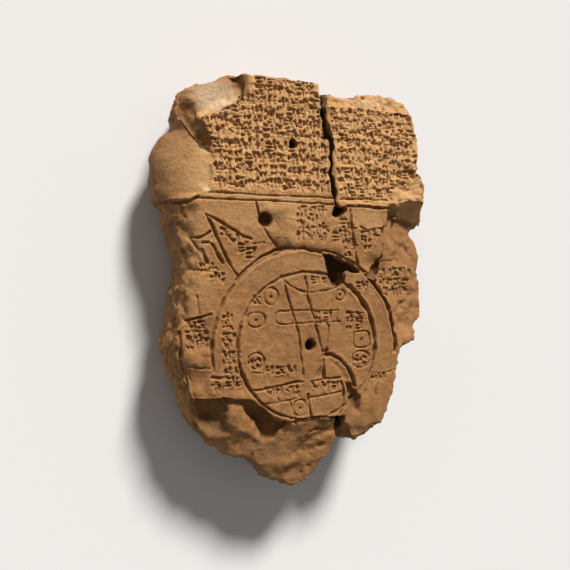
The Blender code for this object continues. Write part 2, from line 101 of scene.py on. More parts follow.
# The widest line round the tablet, clockwise: x, y and how far the edge rolls in to the face
OUTLINE = [
    (-40.7, 65.9, 9.0), (-40.6, 70.0, 6.0), (-39.3, 74.2, 4.0), (-37.3, 76.9, 3.0),
    (-34.0, 79.2, 2.5), (-30.0, 79.7, 2.0), (-23.7, 82.0, 1.5), (-15.0, 82.1, 1.3),
    (-5.0, 82.0, 1.3), (1.6, 81.6, 1.3), (3.9, 80.2, 1.0), (4.9, 77.6, 1.0),
    (9.4, 78.0, 1.2), (15.8, 77.2, 1.2), (17.7, 79.6, 1.2), (23.4, 79.5, 1.2),
    (32.9, 78.3, 1.2), (35.0, 77.2, 1.2), (36.2, 75.0, 1.2), (37.3, 71.2, 1.2),
    (38.2, 66.3, 1.2), (38.5, 62.8, 1.2), (38.0, 61.2, 1.2), (38.7, 57.2, 1.2),
    (38.6, 55.2, 1.2), (40.7, 53.8, 1.2), (41.0, 44.2, 1.2), (42.0, 38.6, 1.5),
    (41.3, 36.9, 1.5), (38.4, 35.5, 1.5), (41.0, 31.5, 3.0), (41.3, 24.5, 3.0),
    (41.1, 18.2, 3.0), (41.5, 11.6, 3.0), (40.5, 8.2, 2.5), (39.2, 5.4, 2.0),
    (38.6, 0.6, 2.0), (34.9, -1.4, 2.0), (32.0, -2.6, 1.5), (31.0, -7.4, 1.5),
    (29.3, -15.2, 2.0), (26.9, -21.2, 2.0), (24.4, -26.2, 2.5), (19.2, -29.8, 3.0),
    (15.9, -31.3, 3.0), (12.9, -27.4, 3.0), (11.5, -29.7, 4.0), (9.6, -32.8, 4.0),
    (6.0, -37.8, 4.0), (2.6, -41.6, 4.0), (-2.4, -44.8, 5.0), (-7.6, -43.4, 5.0),
    (-12.0, -41.7, 5.0), (-15.6, -37.6, 5.0), (-18.4, -35.6, 5.0), (-23.5, -34.6, 5.0),
    (-26.1, -31.8, 5.0), (-31.0, -29.0, 5.0), (-34.0, -25.6, 5.0), (-37.0, -20.0, 5.0),
    (-38.9, -14.0, 5.0), (-41.3, -7.4, 6.0), (-43.7, -1.4, 6.0), (-44.0, 1.6, 6.5),
    (-42.6, 4.2, 7.0), (-41.9, 10.0, 8.0), (-41.0, 16.0, 8.0), (-39.5, 20.4, 7.0),
    (-39.3, 25.4, 7.0), (-41.2, 30.0, 8.0), (-42.3, 35.7, 8.5), (-43.7, 41.2, 10.5),
    (-46.5, 44.8, 13.0), (-47.2, 48.7, 15.5), (-47.0, 56.0, 15.5), (-45.8, 59.6, 15.0),
    (-43.7, 63.2, 12.0),
]
MIDDLE = (-2.0, 38.0)
CROWN_SPAN = (46.0, 64.0)
CROWN_TOP = (-3.0, 20.0)
XS, YS = [p[0] for p in OUTLINE], [p[1] for p in OUTLINE]
UNIT = HEIGHT / (max(YS) - min(YS))
MID_X = (max(XS) + min(XS)) / 2
MID_Y = (max(YS) + min(YS)) / 2

# Flakes and ends that are lost, each as rim points (x, y, depth in mm) and its deepest point
LOST = {
    "top left break": (
        [(-19.5, 85, 0.3), (-20.5, 75.5, 0.7), (-24, 72.5, 0.9), (-29, 69.2, 1.0), (-34, 67.9, 1.4),
         (-33.2, 64.6, 1.4), (-31.4, 61.4, 1.2), (-31, 58.6, 1.2), (-35.2, 60.6, 2.2),
         (-37, 63.8, 3.4), (-39.4, 68.0, 5.4), (-48, 71.0, 9.0), (-48, 80, 11.0), (-34, 86, 7.0)],
        (-36.0, 71.5, 4.6)),
    "top ledge": (
        [(4.5, 73.9, 1.8), (20, 74.0, 1.8), (36.5, 73.3, 1.8), (38, 84, 2.6), (3.4, 84, 2.6)],
        (20, 78, 2.2)),
    "break under the upper block": (
        [(27, 43.8, 0.4), (30, 44.2, 0.5), (33, 45.2, 0.6), (36, 45.6, 0.8), (44, 44.0, 1.5),
         (44, 34.0, 7.5), (35, 37.3, 6.8), (31, 39.9, 5.4), (27, 40.0, 3.8)],
        (34, 41.5, 4.2)),
    "sunk right edge": (
        [(26.9, 40.6, 3.6), (26.3, 36.0, 2.6), (25.3, 32.0, 2.0), (24.0, 26.0, 2.2), (22.6, 19.5, 1.2),
         (25.4, 14.9, 0.8), (27.8, 10.5, 0.7), (29.3, 6.0, 0.7), (30.3, 1.0, 0.8), (34, -3, 1.6),
         (46, -3, 3.5), (46, 37, 7.0), (35, 39.0, 6.4)],
        (32.5, 21, 3.4)),
    "deep pit": (
        [(3.4, 28.3, 4.6), (9.0, 27.6, 5.2), (13.6, 25.3, 4.0), (17.3, 22.0, 2.6), (14.2, 22.0, 2.8),
         (11.5, 22.3, 4.6), (11.2, 20.0, 5.2), (10.0, 18.4, 5.0), (7.4, 18.1, 5.2), (6.0, 20.5, 5.8),
         (5.0, 24.5, 5.8)],
        (8.0, 23.6, 6.6)),
    "gap below the wedge piece": (
        [(17.6, 21.8, 3.4), (20.2, 22.9, 5.0), (23.4, 26.8, 4.6), (25.2, 28.6, 3.0), (25.7, 27.3, 3.4),
         (24.9, 24.1, 4.2), (23.9, 21.9, 4.2), (21.9, 20.5, 3.6), (19.5, 20.5, 2.8)],
        (22.2, 22.9, 6.0)),
    "corner hole": (
        [(7.2, 39.9, 5.0), (8.3, 43.4, 5.4), (12.5, 42.8, 4.2), (11.8, 41.3, 4.6), (10.0, 39.7, 4.8),
         (8.6, 39.2, 4.8)],
        (9.4, 41.4, 6.4)),
    "notch beside the wedge piece": (
        [(26.4, 36.8, 1.8), (24.1, 36.4, 1.2), (25.1, 33.2, 1.6), (26.2, 33.6, 2.2)],
        (25.6, 35.2, 3.2)),
    "lost foot": (
        [(-50, -11.0, 5.0), (-36, -15.2, 1.6), (-29, -15.0, 1.8), (-25, -14.8, 1.6), (-18, -16.6, 1.6),
         (-12, -21.0, 1.4), (-7, -23.3, 0.9), (3, -22.7, 0.8), (8.4, -23.2, 0.9), (13.5, -29.0, 2.6),
         (12, -40, 4.4), (0, -50, 6.5), (-16, -50, 7.0), (-34, -38, 7.0), (-50, -24, 7.0)],
        (-14, -30, 2.8)),
    "left hollow": (
        [(-35.6, -16.0, 2.2), (-31, -15.2, 2.6), (-26.6, -15.6, 3.0), (-25.6, -19, 3.8),
         (-26, -24, 3.6), (-30, -26, 4.8), (-35, -22.6, 5.0)],
        (-30.6, -20.8, 8.4)),
    "right hollow": (
        [(-22.8, -15.5, 2.0), (-18, -16.9, 3.4), (-14, -19.8, 4.4), (-9.6, -22.9, 4.8),
         (-7.2, -23.5, 3.2), (-9, -26, 4.0), (-11, -28.3, 4.2), (-14.0, -29.1, 4.0),
         (-16.6, -26.4, 3.2), (-19.4, -20.6, 2.6)],
        (-15, -23, 7.2)),
    "lower gap": (
        [(8.4, -22.4, 4.0), (12.5, -21.8, 4.0), (11.6, -24.6, 7.0), (12.6, -31.5, 9.0),
         (10.0, -31.5, 9.0), (9.0, -24.6, 7.0)],
        (10.6, -25.4, 9.0)),
}

# Open joins cut into the slab: points as x, y and width in mm, and the depth
OPEN_JOINS = [
    ([(4.0, 86.0, 1.8), (4.2, 76.0, 2.0), (4.6, 71.0, 2.4), (5.2, 67.0, 2.3), (5.9, 65.0, 2.8),
      (6.7, 63.6, 3.0), (7.0, 61.5, 2.7), (6.9, 57.5, 2.3), (6.8, 53.0, 1.9), (7.4, 49.0, 1.7),
      (8.3, 45.5, 1.9), (9.2, 42.8, 2.3)], 6.5),
]
JOIN_STEP = 2.0
JOIN_MARGIN = 2.6

# How far every cutter stands out of the face
CUT_RISE = 3.0 * MM

# Hair joins and cracks pressed into the fine mesh: path, width and depth
HAIR_JOINS = [
    ([(-17.4, 43.2), (-16.6, 40.2), (-15.4, 36.2), (-13.4, 33.0), (-11.4, 30.4), (-9.4, 28.6)], 0.8, 1.2),
    ([(-23.6, 19.8), (-20.6, 23.2), (-16.2, 26.4), (-11.4, 28.8), (-6.0, 29.8), (-1.0, 29.5), (3.6, 28.4)],
     1.25, 1.5),
    ([(13.3, 42.6), (13.9, 38.0), (14.7, 32.0), (15.4, 27.0), (16.1, 24.6)], 0.8, 1.1),
    ([(3.9, -3.6), (7.0, -3.1), (9.6, -4.4), (12.2, -7.0), (14.0, -9.8), (15.1, -13.2)], 1.1, 1.3),
    ([(-0.7, -15.4), (-0.3, -18.6), (0.4, -22.6)], 1.0, 1.2),
    ([(-5.0, -23.2), (-3.0, -23.0), (0.5, -22.6), (4.0, -22.4), (8.6, -22.9)], 0.9, 1.3),
    ([(10.5, -11.6), (11.2, -15.0), (11.2, -18.8), (10.2, -21.6)], 0.8, 1.0),
    ([(17.0, 36.6), (19.2, 35.3), (22.0, 36.1), (24.3, 36.3)], 0.7, 0.6),
    ([(26.8, 42.6), (26.6, 39.0), (26.2, 36.8)], 0.8, 1.2),
    ([(-40.4, 4.4), (-40.2, 0.4), (-39.8, -3.8), (-39.0, -7.6), (-37.8, -11.4)], 0.9, 0.9),
    ([(-45.4, 42.9), (-41.0, 42.6), (-37.4, 42.8), (-35.2, 44.2)], 1.1, 1.3),
    ([(22.0, -9.6), (26.0, -9.4), (31.0, -8.4)], 0.5, 0.4),
    ([(-30.6, -8.9), (-28.6, -9.4), (-26.4, -9.0)], 1.1, 1.1),
    ([(36.8, 15.0), (33.4, 12.2), (29.6, 9.8)], 1.6, 0.6),
]

# Broad valleys in the breaks: path, width and depth
VALLEYS = [
    ([(-23.4, 81.5), (-21.4, 76.8), (-19.9, 73.8)], 3.4, 1.6),
    ([(-38.6, 68.4), (-36.2, 64.6), (-34.0, 61.4), (-31.6, 59.4)], 2.8, 1.3),
    ([(-36.6, -15.2), (-31.0, -16.0), (-26.0, -15.8)], 3.0, 1.0),
    ([(36.0, 30.5), (32.0, 28.5), (28.5, 24.5)], 3.0, 0.5),
    ([(6.5, -27.0), (0.5, -30.0), (-3.0, -34.0)], 2.4, 0.6),
    ([(3.0, -26.4), (6.6, -26.9)], 1.4, 0.7),
]

# Ruled lines: path, width, of which this share is cut, and depth
RULE_SHARE = 0.9
RULES = [
    ([(-31.8, 45.8), (-24.0, 45.5), (-12.0, 45.3), (0.0, 45.3), (8.3, 45.3)], 0.7, 0.6),
    ([(-34.8, 43.9), (-25.0, 43.6), (-15.0, 43.8), (-4.0, 43.5), (8.6, 43.3)], 0.75, 0.75),
    ([(10.2, 45.1), (18.0, 45.3), (26.6, 45.3)], 0.7, 0.6),
    ([(12.6, 43.0), (20.0, 42.9), (26.9, 42.8)], 1.0, 1.3),
    ([(-32.9, 39.3), (-31.0, 35.6), (-28.9, 31.0), (-26.8, 26.6), (-25.0, 23.6), (-23.5, 21.3)], 0.9, 1.0),
    ([(-32.9, 39.3), (-29.3, 37.4), (-25.2, 35.0), (-21.7, 33.1), (-19.0, 32.2)], 0.9, 0.9),
    ([(-18.6, 30.6), (-14.8, 31.1)], 0.8, 0.6),
    ([(-37.0, 32.3), (-34.6, 32.2), (-33.0, 33.0), (-31.3, 34.1)], 0.9, 0.9),
    ([(-37.2, 32.2), (-34.7, 28.6), (-33.0, 25.6)], 0.8, 0.8),
    ([(-9.9, 21.2), (-8.6, 19.6), (-6.6, 18.2), (-4.0, 17.0), (-1.5, 16.3), (2.0, 16.2), (6.6, 17.0),
      (10.0, 18.2)], 0.7, 0.65),
    ([(-8.9, 19.3), (-7.1, 13.8), (-5.5, 9.0), (-4.1, 4.6), (-3.3, 0.0), (-2.9, -4.5), (-2.2, -10.6)],
     0.8, 0.8),
    ([(-1.8, 20.8), (-1.1, 17.0), (-1.2, 15.0), (0.0, 11.5), (1.2, 8.0), (2.4, 4.0), (3.2, 0.0),
      (4.3, -3.0)], 0.8, 0.75),
    ([(5.4, 7.2), (6.1, 5.6), (5.7, 3.0), (5.5, 0.6), (5.2, -2.2)], 0.8, 0.75),
    ([(4.2, -4.0), (4.4, -7.0), (4.7, -10.4)], 0.9, 1.0),
    ([(9.0, 10.5), (0.4, 10.4), (-5.0, 10.6), (-10.2, 10.4), (-11.3, 9.6), (-11.4, 8.2), (-10.9, 7.0),
      (-9.8, 6.5), (-4.2, 6.6), (1.5, 6.9), (9.9, 7.1)], 0.7, 0.65),
    ([(7.2, 17.0), (7.3, 11.2)], 0.6, 0.5),
    ([(8.9, 11.0), (8.7, 7.3)], 0.7, 0.6),
    ([(-19.5, -13.4), (-15.2, -13.1), (-10.0, -12.2), (-5.0, -11.2), (-2.2, -11.3)], 0.9, 0.9),
    ([(0.0, -11.3), (5.0, -10.7), (10.6, -10.3)], 0.75, 0.7),
    ([(-14.5, -17.6), (-10.0, -17.1), (-6.5, -16.7), (-3.2, -15.7)], 0.75, 0.6),
    ([(-0.2, -16.2), (5.0, -15.6), (10.8, -14.7)], 0.75, 0.6),
    ([(-19.0, -8.0), (-15.2, -8.2)], 0.6, 0.5),
    ([(-15.2, -5.5), (-15.0, -10.4)], 0.6, 0.6),
    ([(-12.0, -12.9), (-10.8, -15.4), (-9.9, -16.8)], 0.6, 0.6),
    ([(-6.6, -17.0), (-5.6, -20.0), (-4.8, -22.2)], 0.7, 0.6),
    ([(21.3, -9.4), (20.0, -12.6), (17.8, -16.8)], 0.6, 0.5),
    ([(22.3, -11.0), (22.4, -17.0)], 0.6, 0.4),
    ([(-34.0, 28.8), (-33.2, 27.0), (-32.4, 25.0)], 1.1, 1.1),
    ([(-31.0, 30.3), (-29.6, 27.6), (-27.8, 24.9)], 1.0, 1.0),
    ([(-33.8, 30.8), (-32.0, 31.0)], 0.9, 0.8),
    ([(-38.8, 7.9), (-35.0, 8.6), (-31.2, 9.8)], 1.0, 1.1),
    ([(-40.0, 23.1), (-34.0, 22.5), (-30.4, 22.2)], 0.6, 0.4),
    ([(-35.4, 15.4), (-35.4, 12.0), (-34.8, 9.8)], 0.6, 0.5),
    ([(-38.6, -5.6), (-31.2, -6.4)], 0.7, 0.45),
]

# The rings of the drawing: centre, radius, first and last angle in degrees, width and depth
RINGS = [
    (-0.7, -0.3, 22.6, -180.0, 180.0, 0.9, 0.9), (-0.9, -0.8, 30.2, -4.0, 192.0, 0.9, 0.9),
    (-0.7, -0.3, 22.6, -14.0, 54.0, 1.5, 1.4), (-0.9, -0.8, 30.2, -4.0, 50.0, 1.5, 1.6),
    (-0.7, -0.3, 22.6, 160.0, 222.0, 1.2, 1.2), (-0.9, -0.8, 30.2, 150.0, 192.0, 1.1, 1.1),
]

# Small rings with a dot: x, y, half width and half height, and how square they are
DOT_RINGS = [
    (-12.8, 14.9, 2.2, 2.5, 2.0), (-17.5, 7.9, 2.7, 2.3, 2.3), (-17.4, -4.4, 2.5, 2.3, 2.0),
    (17.3, 1.4, 2.7, 2.6, 4.0), (17.1, -4.9, 3.0, 2.6, 2.2), (-3.3, -19.2, 2.2, 2.5, 2.0),
    (9.9, 15.3, 1.7, 1.6, 2.0),
]

# Round holes: x, y, radius and depth
HOLES = [(0.0, 0.0, 1.75, 4.5), (-5.5, 61.5, 1.45, 4.5), (-14.6, 38.1, 2.35, 2.4)]

# The smooth bulge at the left of the writing, and how far it lies below the face in mm
BULGE = [
    (-30.8, 46.2), (-30.9, 50.0), (-30.3, 53.6), (-30.8, 57.9), (-33.6, 59.8), (-36.6, 63.6), (-39.2, 68.2),
    (-60, 71.0), (-60, 43.0), (-44.0, 43.2), (-36.0, 44.6),
]
BULGE_DROP = 0.75

# Beds below the face, or above it where the depth is negative: outline, depth and soft edge
BEDS = [
    ([(-40.8, 8.6), (-30.6, 10.4), (-30.0, -1.5), (-40.6, -2.8)], 0.7, 2.6),
    ([(-42.5, -3.5), (-30.4, -3.8), (-30.6, -15.4), (-38.5, -15.4)], 0.8, 4.0),
    ([(5.4, -4.0), (8.8, -5.2), (11.6, -7.8), (13.4, -11.6), (10.8, -11.2), (9.8, -8.8), (7.6, -6.2)],
     0.45, 0.8),
    ([(0.6, -10.4), (2.4, -7.6), (4.3, -5.6), (4.9, -10.6)], 1.0, 0.9),
    ([(11.6, -11.4), (14.4, -12.2), (17.3, -17.0), (17.0, -22.0), (14.2, -21.6), (12.6, -17.0)], 2.2, 1.1),
    ([(3.6, -1.4), (6.2, -1.0), (6.4, -3.4), (4.2, -3.6)], 1.0, 0.7),
    ([(-14.4, 68.4), (-10.8, 68.6), (-11.2, 71.2), (-14.0, 71.2)], 1.2, 0.9),
    ([(-23.0, 73.0), (-20.2, 73.2), (-20.6, 75.4), (-22.6, 75.2)], 1.4, 0.8),
    ([(-15.0, 42.6), (-16.0, 39.0), (-12.0, 31.0), (-9.0, 29.4), (4.0, 28.6), (8.0, 28.0), (13.4, 25.8),
      (12.8, 42.4), (7.4, 39.4), (8.4, 42.8)], -0.35, 0.8),
]

# Dents and, where the depth is negative, swellings: x, y, half width, half height and depth
DENTS = [
    (-37.8, 39.6, 1.9, 2.3, 1.5), (-40.6, 39.6, 1.8, 1.8, -0.5), (-39.7, 34.4, 2.6, 3.4, 1.1),
    (-39.5, 17.6, 2.6, 1.8, 1.0), (-40.4, 13.8, 2.4, 1.8, 1.0), (-40.6, 10.8, 2.2, 1.5, 0.9),
    (-40.4, -6.9, 1.8, 1.8, 1.3), (-39.2, -10.2, 1.5, 1.8, 1.2), (-36.0, -9.6, 3.4, 3.2, 0.9),
    (-37.6, 70.6, 2.2, 2.6, 1.9), (-33.5, 46.6, 2.0, 1.0, -0.4),
    (-26.6, -13.0, 3.6, 1.4, 0.6), (-21.5, -12.2, 2.8, 2.0, 0.6), (-38.4, 27.4, 2.0, 2.0, 0.7),
    (32.0, 55.0, 3.6, 2.0, 0.8), (33.6, 49.2, 3.2, 2.2, 0.9), (29.6, 46.8, 2.4, 1.6, 0.8),
    (36.4, 52.0, 1.6, 2.4, 0.8), (30.4, 60.6, 3.6, 1.4, 0.5), (24.0, 58.4, 3.0, 1.0, 0.5),
    (34.2, 6.0, 3.0, 2.2, 0.6), (30.6, 17.0, 1.4, 5.0, 0.4), (36.0, 23.0, 2.4, 3.0, -0.4),
    (9.0, -26.6, 2.0, 1.6, 0.8), (-4.0, -39.4, 3.0, 1.8, 0.7), (1.6, -33.0, 3.0, 1.2, 0.7),
    (-3.2, -33.0, 4.0, 3.6, 0.6), (5.0, -31.8, 1.4, 0.9, 0.9), (22.6, 24.4, 3.6, 2.6, 1.6),
    (-22.4, -23.0, 4.8, 6.8, -1.5), (-8.0, -37.0, 5.0, 2.2, -0.7), (-29.6, -27.4, 3.6, 1.4, -0.8),
    (16.0, -27.6, 3.0, 1.6, 0.8), (20.6, -24.0, 2.0, 3.0, 0.6),
]

# Where each row of writing begins and ends, from the lowest row of each block up
LEFT_ROWS = [
    (-29.8, 6.3), (-30.2, 5.9), (-30.2, 5.7), (-31.0, 5.4), (-33.2, 4.9), (-34.2, 4.2), (-28.0, 3.8),
    (-23.4, 3.6), (-17.4, 3.4), (-17.2, 3.0),
]
RIGHT_ROWS = [
    (10.0, 27.6), (9.4, 33.0), (9.0, 37.4), (9.2, 37.6), (9.4, 37.6), (9.6, 37.0), (7.6, 36.8),
    (7.4, 36.0), (7.2, 35.2),
]
SHORT_ROWS = [
    (-4.2, 5.0, 41.0), (-4.6, 4.8, 38.4), (-3.6, 5.2, 35.8), (-4.2, 5.6, 33.2), (9.4, 13.0, 38.8),
    (9.4, 13.6, 36.2), (7.4, 14.0, 33.6), (10.8, 14.6, 31.0), (11.6, 15.0, 28.4), (17.2, 22.4, 34.0),
    (18.2, 21.6, 31.4), (-28.4, -25.8, 34.2), (-25.8, -22.6, 32.0), (-23.0, -18.8, 29.8),
    (-20.6, -16.8, 28.0), (-34.6, -29.6, 23.0), (-31.4, -27.2, 20.6), (-38.0, -31.8, 6.2),
    (-38.4, -31.6, 3.4), (-38.0, -31.8, 0.6), (-27.8, -23.8, 8.6), (-27.6, -23.8, 5.8),
    (-27.6, -23.8, 3.0), (-27.6, -23.8, 0.2), (-27.6, -23.8, -2.6), (-27.6, -23.6, -5.2),
    (-27.4, -23.2, -7.8), (-26.6, -21.8, -10.4), (-14.4, -3.6, -7.6), (-14.4, -3.4, -13.8),
    (0.6, 9.8, -12.8), (0.2, 6.0, 20.0), (1.4, 8.4, 9.0), (12.2, 17.6, 8.6), (12.2, 17.6, 6.0),
    (15.6, 20.8, 18.2), (24.0, 37.4, 22.2), (24.4, 36.8, 19.2), (26.0, 36.0, 16.4), (21.0, 26.0, -11.0),
    (-18.4, -15.8, 14.0), (-20.0, -15.4, -5.2), (14.8, 19.4, -5.4), (-31.0, -28.4, -11.6),
]

# Where the broken foot is roughest, and where the top left break is fresh and even
FOOT = [(-50, -14), (-24, -14), (-7, -23), (12, -23), (14, -50), (-50, -50)]
PALE_BREAK = [(-36, 68.6), (-24, 73.6), (-24, 82), (-36, 80)]

# Where the clay is broken into small lumps, and where a break is granular
LUMPY = [
    [(24.5, 27.0), (32.0, 33.0), (42.0, 30.0), (42.0, 8.0), (31.0, 5.0), (27.0, 12.0), (23.0, 20.5)],
    [(27.0, 44.0), (27.6, 52.0), (34.0, 60.0), (42.0, 60.0), (43.0, 44.0)],
    [(-36.0, -4.0), (-30.6, -4.0), (-30.6, 8.0), (-38.0, 7.0)],
]
GRANULAR = [
    [(4.0, 74.0), (36.5, 73.3), (39.0, 84.0), (3.0, 84.0)],
    [(-48.0, 68.0), (-37.0, 68.0), (-35.0, 74.0), (-33.0, 84.0), (-48.0, 84.0)],
    [(-48.0, 45.0), (-36.0, 43.6), (-36.0, 40.0), (-48.0, 40.0)],
    [(-46.0, 40.0), (-39.0, 40.0), (-37.5, 24.0), (-38.0, 8.0), (-35.0, -14.0), (-46.0, -14.0)],
]

# Hollows that keep sharp walls, and hollows whose depths are painted black as shade
SHARP = ("deep pit", "corner hole", "gap below the wedge piece", "lower gap")
SHADE_BLACKENED = ("deep pit", "corner hole", "lower gap")

# Old joins that come through to the back: path, width and depth
BACK_JOINS = [
    ([(4.4, 84.0), (5.4, 72.0), (7.6, 60.0), (6.8, 50.0), (9.4, 42.0)], 0.9, 0.6),
    ([(9.4, 42.0), (-3.0, 39.0), (-18.0, 41.0), (-36.0, 36.0), (-48.0, 37.0)], 0.8, 0.5),
    ([(9.4, 42.0), (20.0, 30.0), (22.0, 16.0), (34.0, -4.0)], 0.8, 0.5),
    ([(20.0, 30.0), (30.0, 37.0), (44.0, 37.0)], 0.8, 0.5),
    ([(-44.0, -10.0), (-26.0, -16.0), (-8.0, -22.0), (12.0, -24.0), (14.0, -34.0)], 0.9, 0.6),
]

# The two blocks of writing, and the lost places where no stroke is left
LEFT_BLOCK = [(-36, 46), (-36, 69), (-18, 82), (4, 82), (8.4, 46)]
RIGHT_BLOCK = [(5, 77), (38, 77), (42, 36), (27, 43.6), (9, 43.6)]
WORN_AWAY = ("top left break", "lost foot", "top ledge", "break under the upper block")

# How softly each kind of area ends
BLOCK_SOFT, LOST_SOFT, BULGE_SOFT = 1.5, 0.4, 0.9
LUMPY_SOFT, GRANULAR_SOFT, FOOT_SOFT, PALE_SOFT = 2.0, 1.5, 1.0, 2.0
HARD_EDGE = 0.01

# How directly a surface begins to face, and fully faces, up, sideways and down
FACING_UP, FACING_SIDE, FACING_DOWN = (0.3, 0.75), (0.35, 0.85), (0.4, 0.8)

# How far below the face a break begins and is full, in mm, and, as shares of the thickness, how
# high the face's own points lie and the bulge sets in
BROKEN_BELOW = (0.5, 1.4)
FACE_HEIGHT = 0.4
BULGE_HEIGHTS = (0.30, 0.75)

# Open joins: how much their sides vary, and how wide the floor is as a share of the width
JOIN_SEED = 3
JOIN_SIDES = (0.8, 1.25)
JOIN_FLOOR = 0.5

# Strokes: their usual length, half width of the head and depth, how much each varies, and how far
# they drift, in degrees for the lean
STROKE_LENGTH = 3.1
STROKE_HALF = 0.66
STROKE_DEPTH = 1.15
LENGTH_SPREAD = (0.85, 1.15)
HALF_SPREAD = (0.8, 1.25)
DEPTH_SPREAD = (0.75, 1.15)
DRIFT_ACROSS = 0.15
DRIFT_UP = 0.2
DRIFT_LEAN = 9

# The form of a stroke: width and depth that the tail keeps, how it tapers, how steep both ends are,
# how flat the floor and how curved the walls are, and the height, distance and width of the lip
TAIL_WIDTH, TAIL_DEPTH, TAPER = 0.3, 0.6, 1.3
HEAD_END, TAIL_END = 0.5, 0.2
STROKE_FLOOR, STROKE_WALL = 1.2, 0.7
STROKE_LIP, STROKE_LIP_AWAY, STROKE_LIP_WIDTH = 0.28, 1.35, 0.3

# The form of a groove, in the same way, and where the wall of a round hole begins and ends
GROOVE_FLOOR, GROOVE_WALL = 1.15, 0.85
GROOVE_LIP, GROOVE_LIP_AWAY, GROOVE_LIP_WIDTH = 0.18, 0.75, 0.24
HOLE_WALL = (0.72, 1.08)
DOT_RING_WIDTH, DOT_RING_DEPTH = 0.65, 0.6
DOT_RADIUS, DOT_DEPTH = 0.42, 0.8
FAR = 9.0

# Rows of writing: how far the highest stroke of a sign lies above its middle, the widths of a sign,
# the gap after it, the least room for one, and the height of each block's lowest row and its steps
WRITING_SEED = 11
ROW_RISE = 2.9
SIGN_WIDTHS = (2.6, 3.7)
SIGN_GAP = 0.4
LEAST_ROOM = 0.8
LEFT_ROW_START, LEFT_ROW_STEP, LEFT_ROW_NARROWING = 48.7, 4.05, 0.066
RIGHT_ROW_START, RIGHT_ROW_STEP, RIGHT_ROW_SLOPE = 47.3, 3.1, 0.015

# How large the signs are: in the two blocks, and in short rows above and below a height
LEFT_SIZE = 1.0
RIGHT_SIZE = 0.82
UPPER_SIZE = 0.94
LOWER_SIZE = 0.84
UPPER_ROWS = 25.0
DEPTH_POWER = 1.5

# Kinds of sign: each stroke's place in its cell across and up, its lean in degrees and its length
SIGNS = [
    [(0.0, 0.35, 0, 0.9), (0.0, -0.1, 0, 0.8), (0.0, -0.5, 0, 0.9), (0.75, 0.55, -90, 1.1)],
    [(0.1, 0.5, -90, 1.2), (0.55, 0.6, -90, 1.1), (0.0, 0.1, 0, 1.0)],
    [(0.1, 0.2, -45, 0.5), (0.35, 0.45, -45, 0.5), (0.7, 0.5, -90, 1.2)],
    [(0.3, 0.6, -90, 1.35), (0.0, 0.05, 0, 1.1), (0.75, 0.1, -45, 0.6)],
    [(0.0, 0.45, 0, 1.1), (0.0, -0.3, 0, 1.1), (0.4, 0.2, -60, 0.8)],
    [(0.0, 0.5, -60, 0.8), (0.4, -0.4, 60, 0.8), (0.75, 0.55, -90, 1.2), (0.2, 0.0, 0, 0.8)],
    [(0.15, 0.55, -90, 0.6), (0.5, 0.55, -90, 0.6), (0.15, -0.2, -90, 0.6), (0.5, -0.2, -90, 0.6)],
    [(0.0, 0.1, 0, 0.9), (0.45, 0.5, -90, 1.2), (0.8, 0.3, -90, 0.9)],
]

# Noise in the clay: the size of a lump in mm, the seed and the number of octaves
NOISES = {
    "edge across": (3.4, 103, 2), "edge along": (3.4, 110, 2),
    "sway across": (2.6, 71, 1), "sway along": (2.6, 72, 1),
    "tremor across": (0.9, 73, 1), "tremor along": (0.9, 74, 1),
    "bulge edge": (2.8, 79, 1), "bulge streaks": (1.6, 43, 2), "pressure": (2.2, 77, 1),
    "rough": (4.2, 3, 3), "chips": (1.5, 17, 2), "layers": (1.5, 29, 2), "foot": (8.0, 37, 2),
    "pits": (1.9, 19, 1), "pit groups": (7.0, 23, 1), "break creases": (5.0, 31, 1),
    "lumps": (2.4, 97, 2), "lump creases": (2.8, 101, 1),
    "grit": (1.3, 89, 2), "grit holes": (1.0, 91, 1),
    "broad swell": (7.0, 41, 2), "fine swell": (1.3, 47, 2),
    "written swell": (1.7, 53, 2), "written creases": (1.9, 59, 1),
    "worn swell": (3.0, 61, 2), "worn creases": (2.3, 67, 1), "back creases": (9.0, 83, 1),
}
CREASE_WIDTH = 0.3
LAYER_STRETCH = (0.22, 0.22, 1.0)
STREAK_STRETCH = (0.4, 1.6, 0)

# The noise's whole-number mixing: cell and seed primes, and the factor and shift of each scramble
CELL_PRIMES = (73856093, 19349663, 83492791)
SEED_PRIME = 2654435761
SCRAMBLES = ((2246822519, 15), (3266489917, 13))
LAST_SHIFT = 16
WORD = 0xFFFFFFFF

# How far lines and edges sway and how unevenly they were pressed
SWAY, TREMOR, BULGE_SWAY, UNEVEN = 0.18, 0.10, 0.8, 0.45

# Heights in mm: of breaks, with how much calmer the pale one is, of the foot, and of lumps and grit
BREAK_ROUGH, PALE_CALM, FOOT_ROUGH = 0.50, 0.38, 0.6
BREAK_CHIPS, BREAK_CREASES, BREAK_PITS, BREAK_SINK = 0.5, 0.5, 0.7, 0.15
LUMP_RISE, LUMP_CREASES = 0.40, 0.45
GRIT_RISE, GRIT_HOLES = 0.45, 0.35

# Heights in mm: of the sides, of the bulge's streaks, of the face and of the back
SIDE_ROUGH, SIDE_CHIPS, SIDE_LAYERS, SIDE_PITS, SIDE_SINK = 1.2, 0.55, 0.5, 0.6, 0.05
BULGE_SIDE_CALM, BULGE_CALM, BULGE_STREAKS = 0.85, 0.7, 0.10
BROAD_SWELL, FINE_SWELL, FACE_SINK = 0.14, 0.17, 0.12
WRITTEN_SWELL, WRITTEN_CREASES = 0.24, 0.22
WORN_SWELL, WORN_CREASES = 0.65, 0.50
BACK_ROUGH, BACK_CREASES = 0.3, 0.3
DENT_EDGE = 1.4
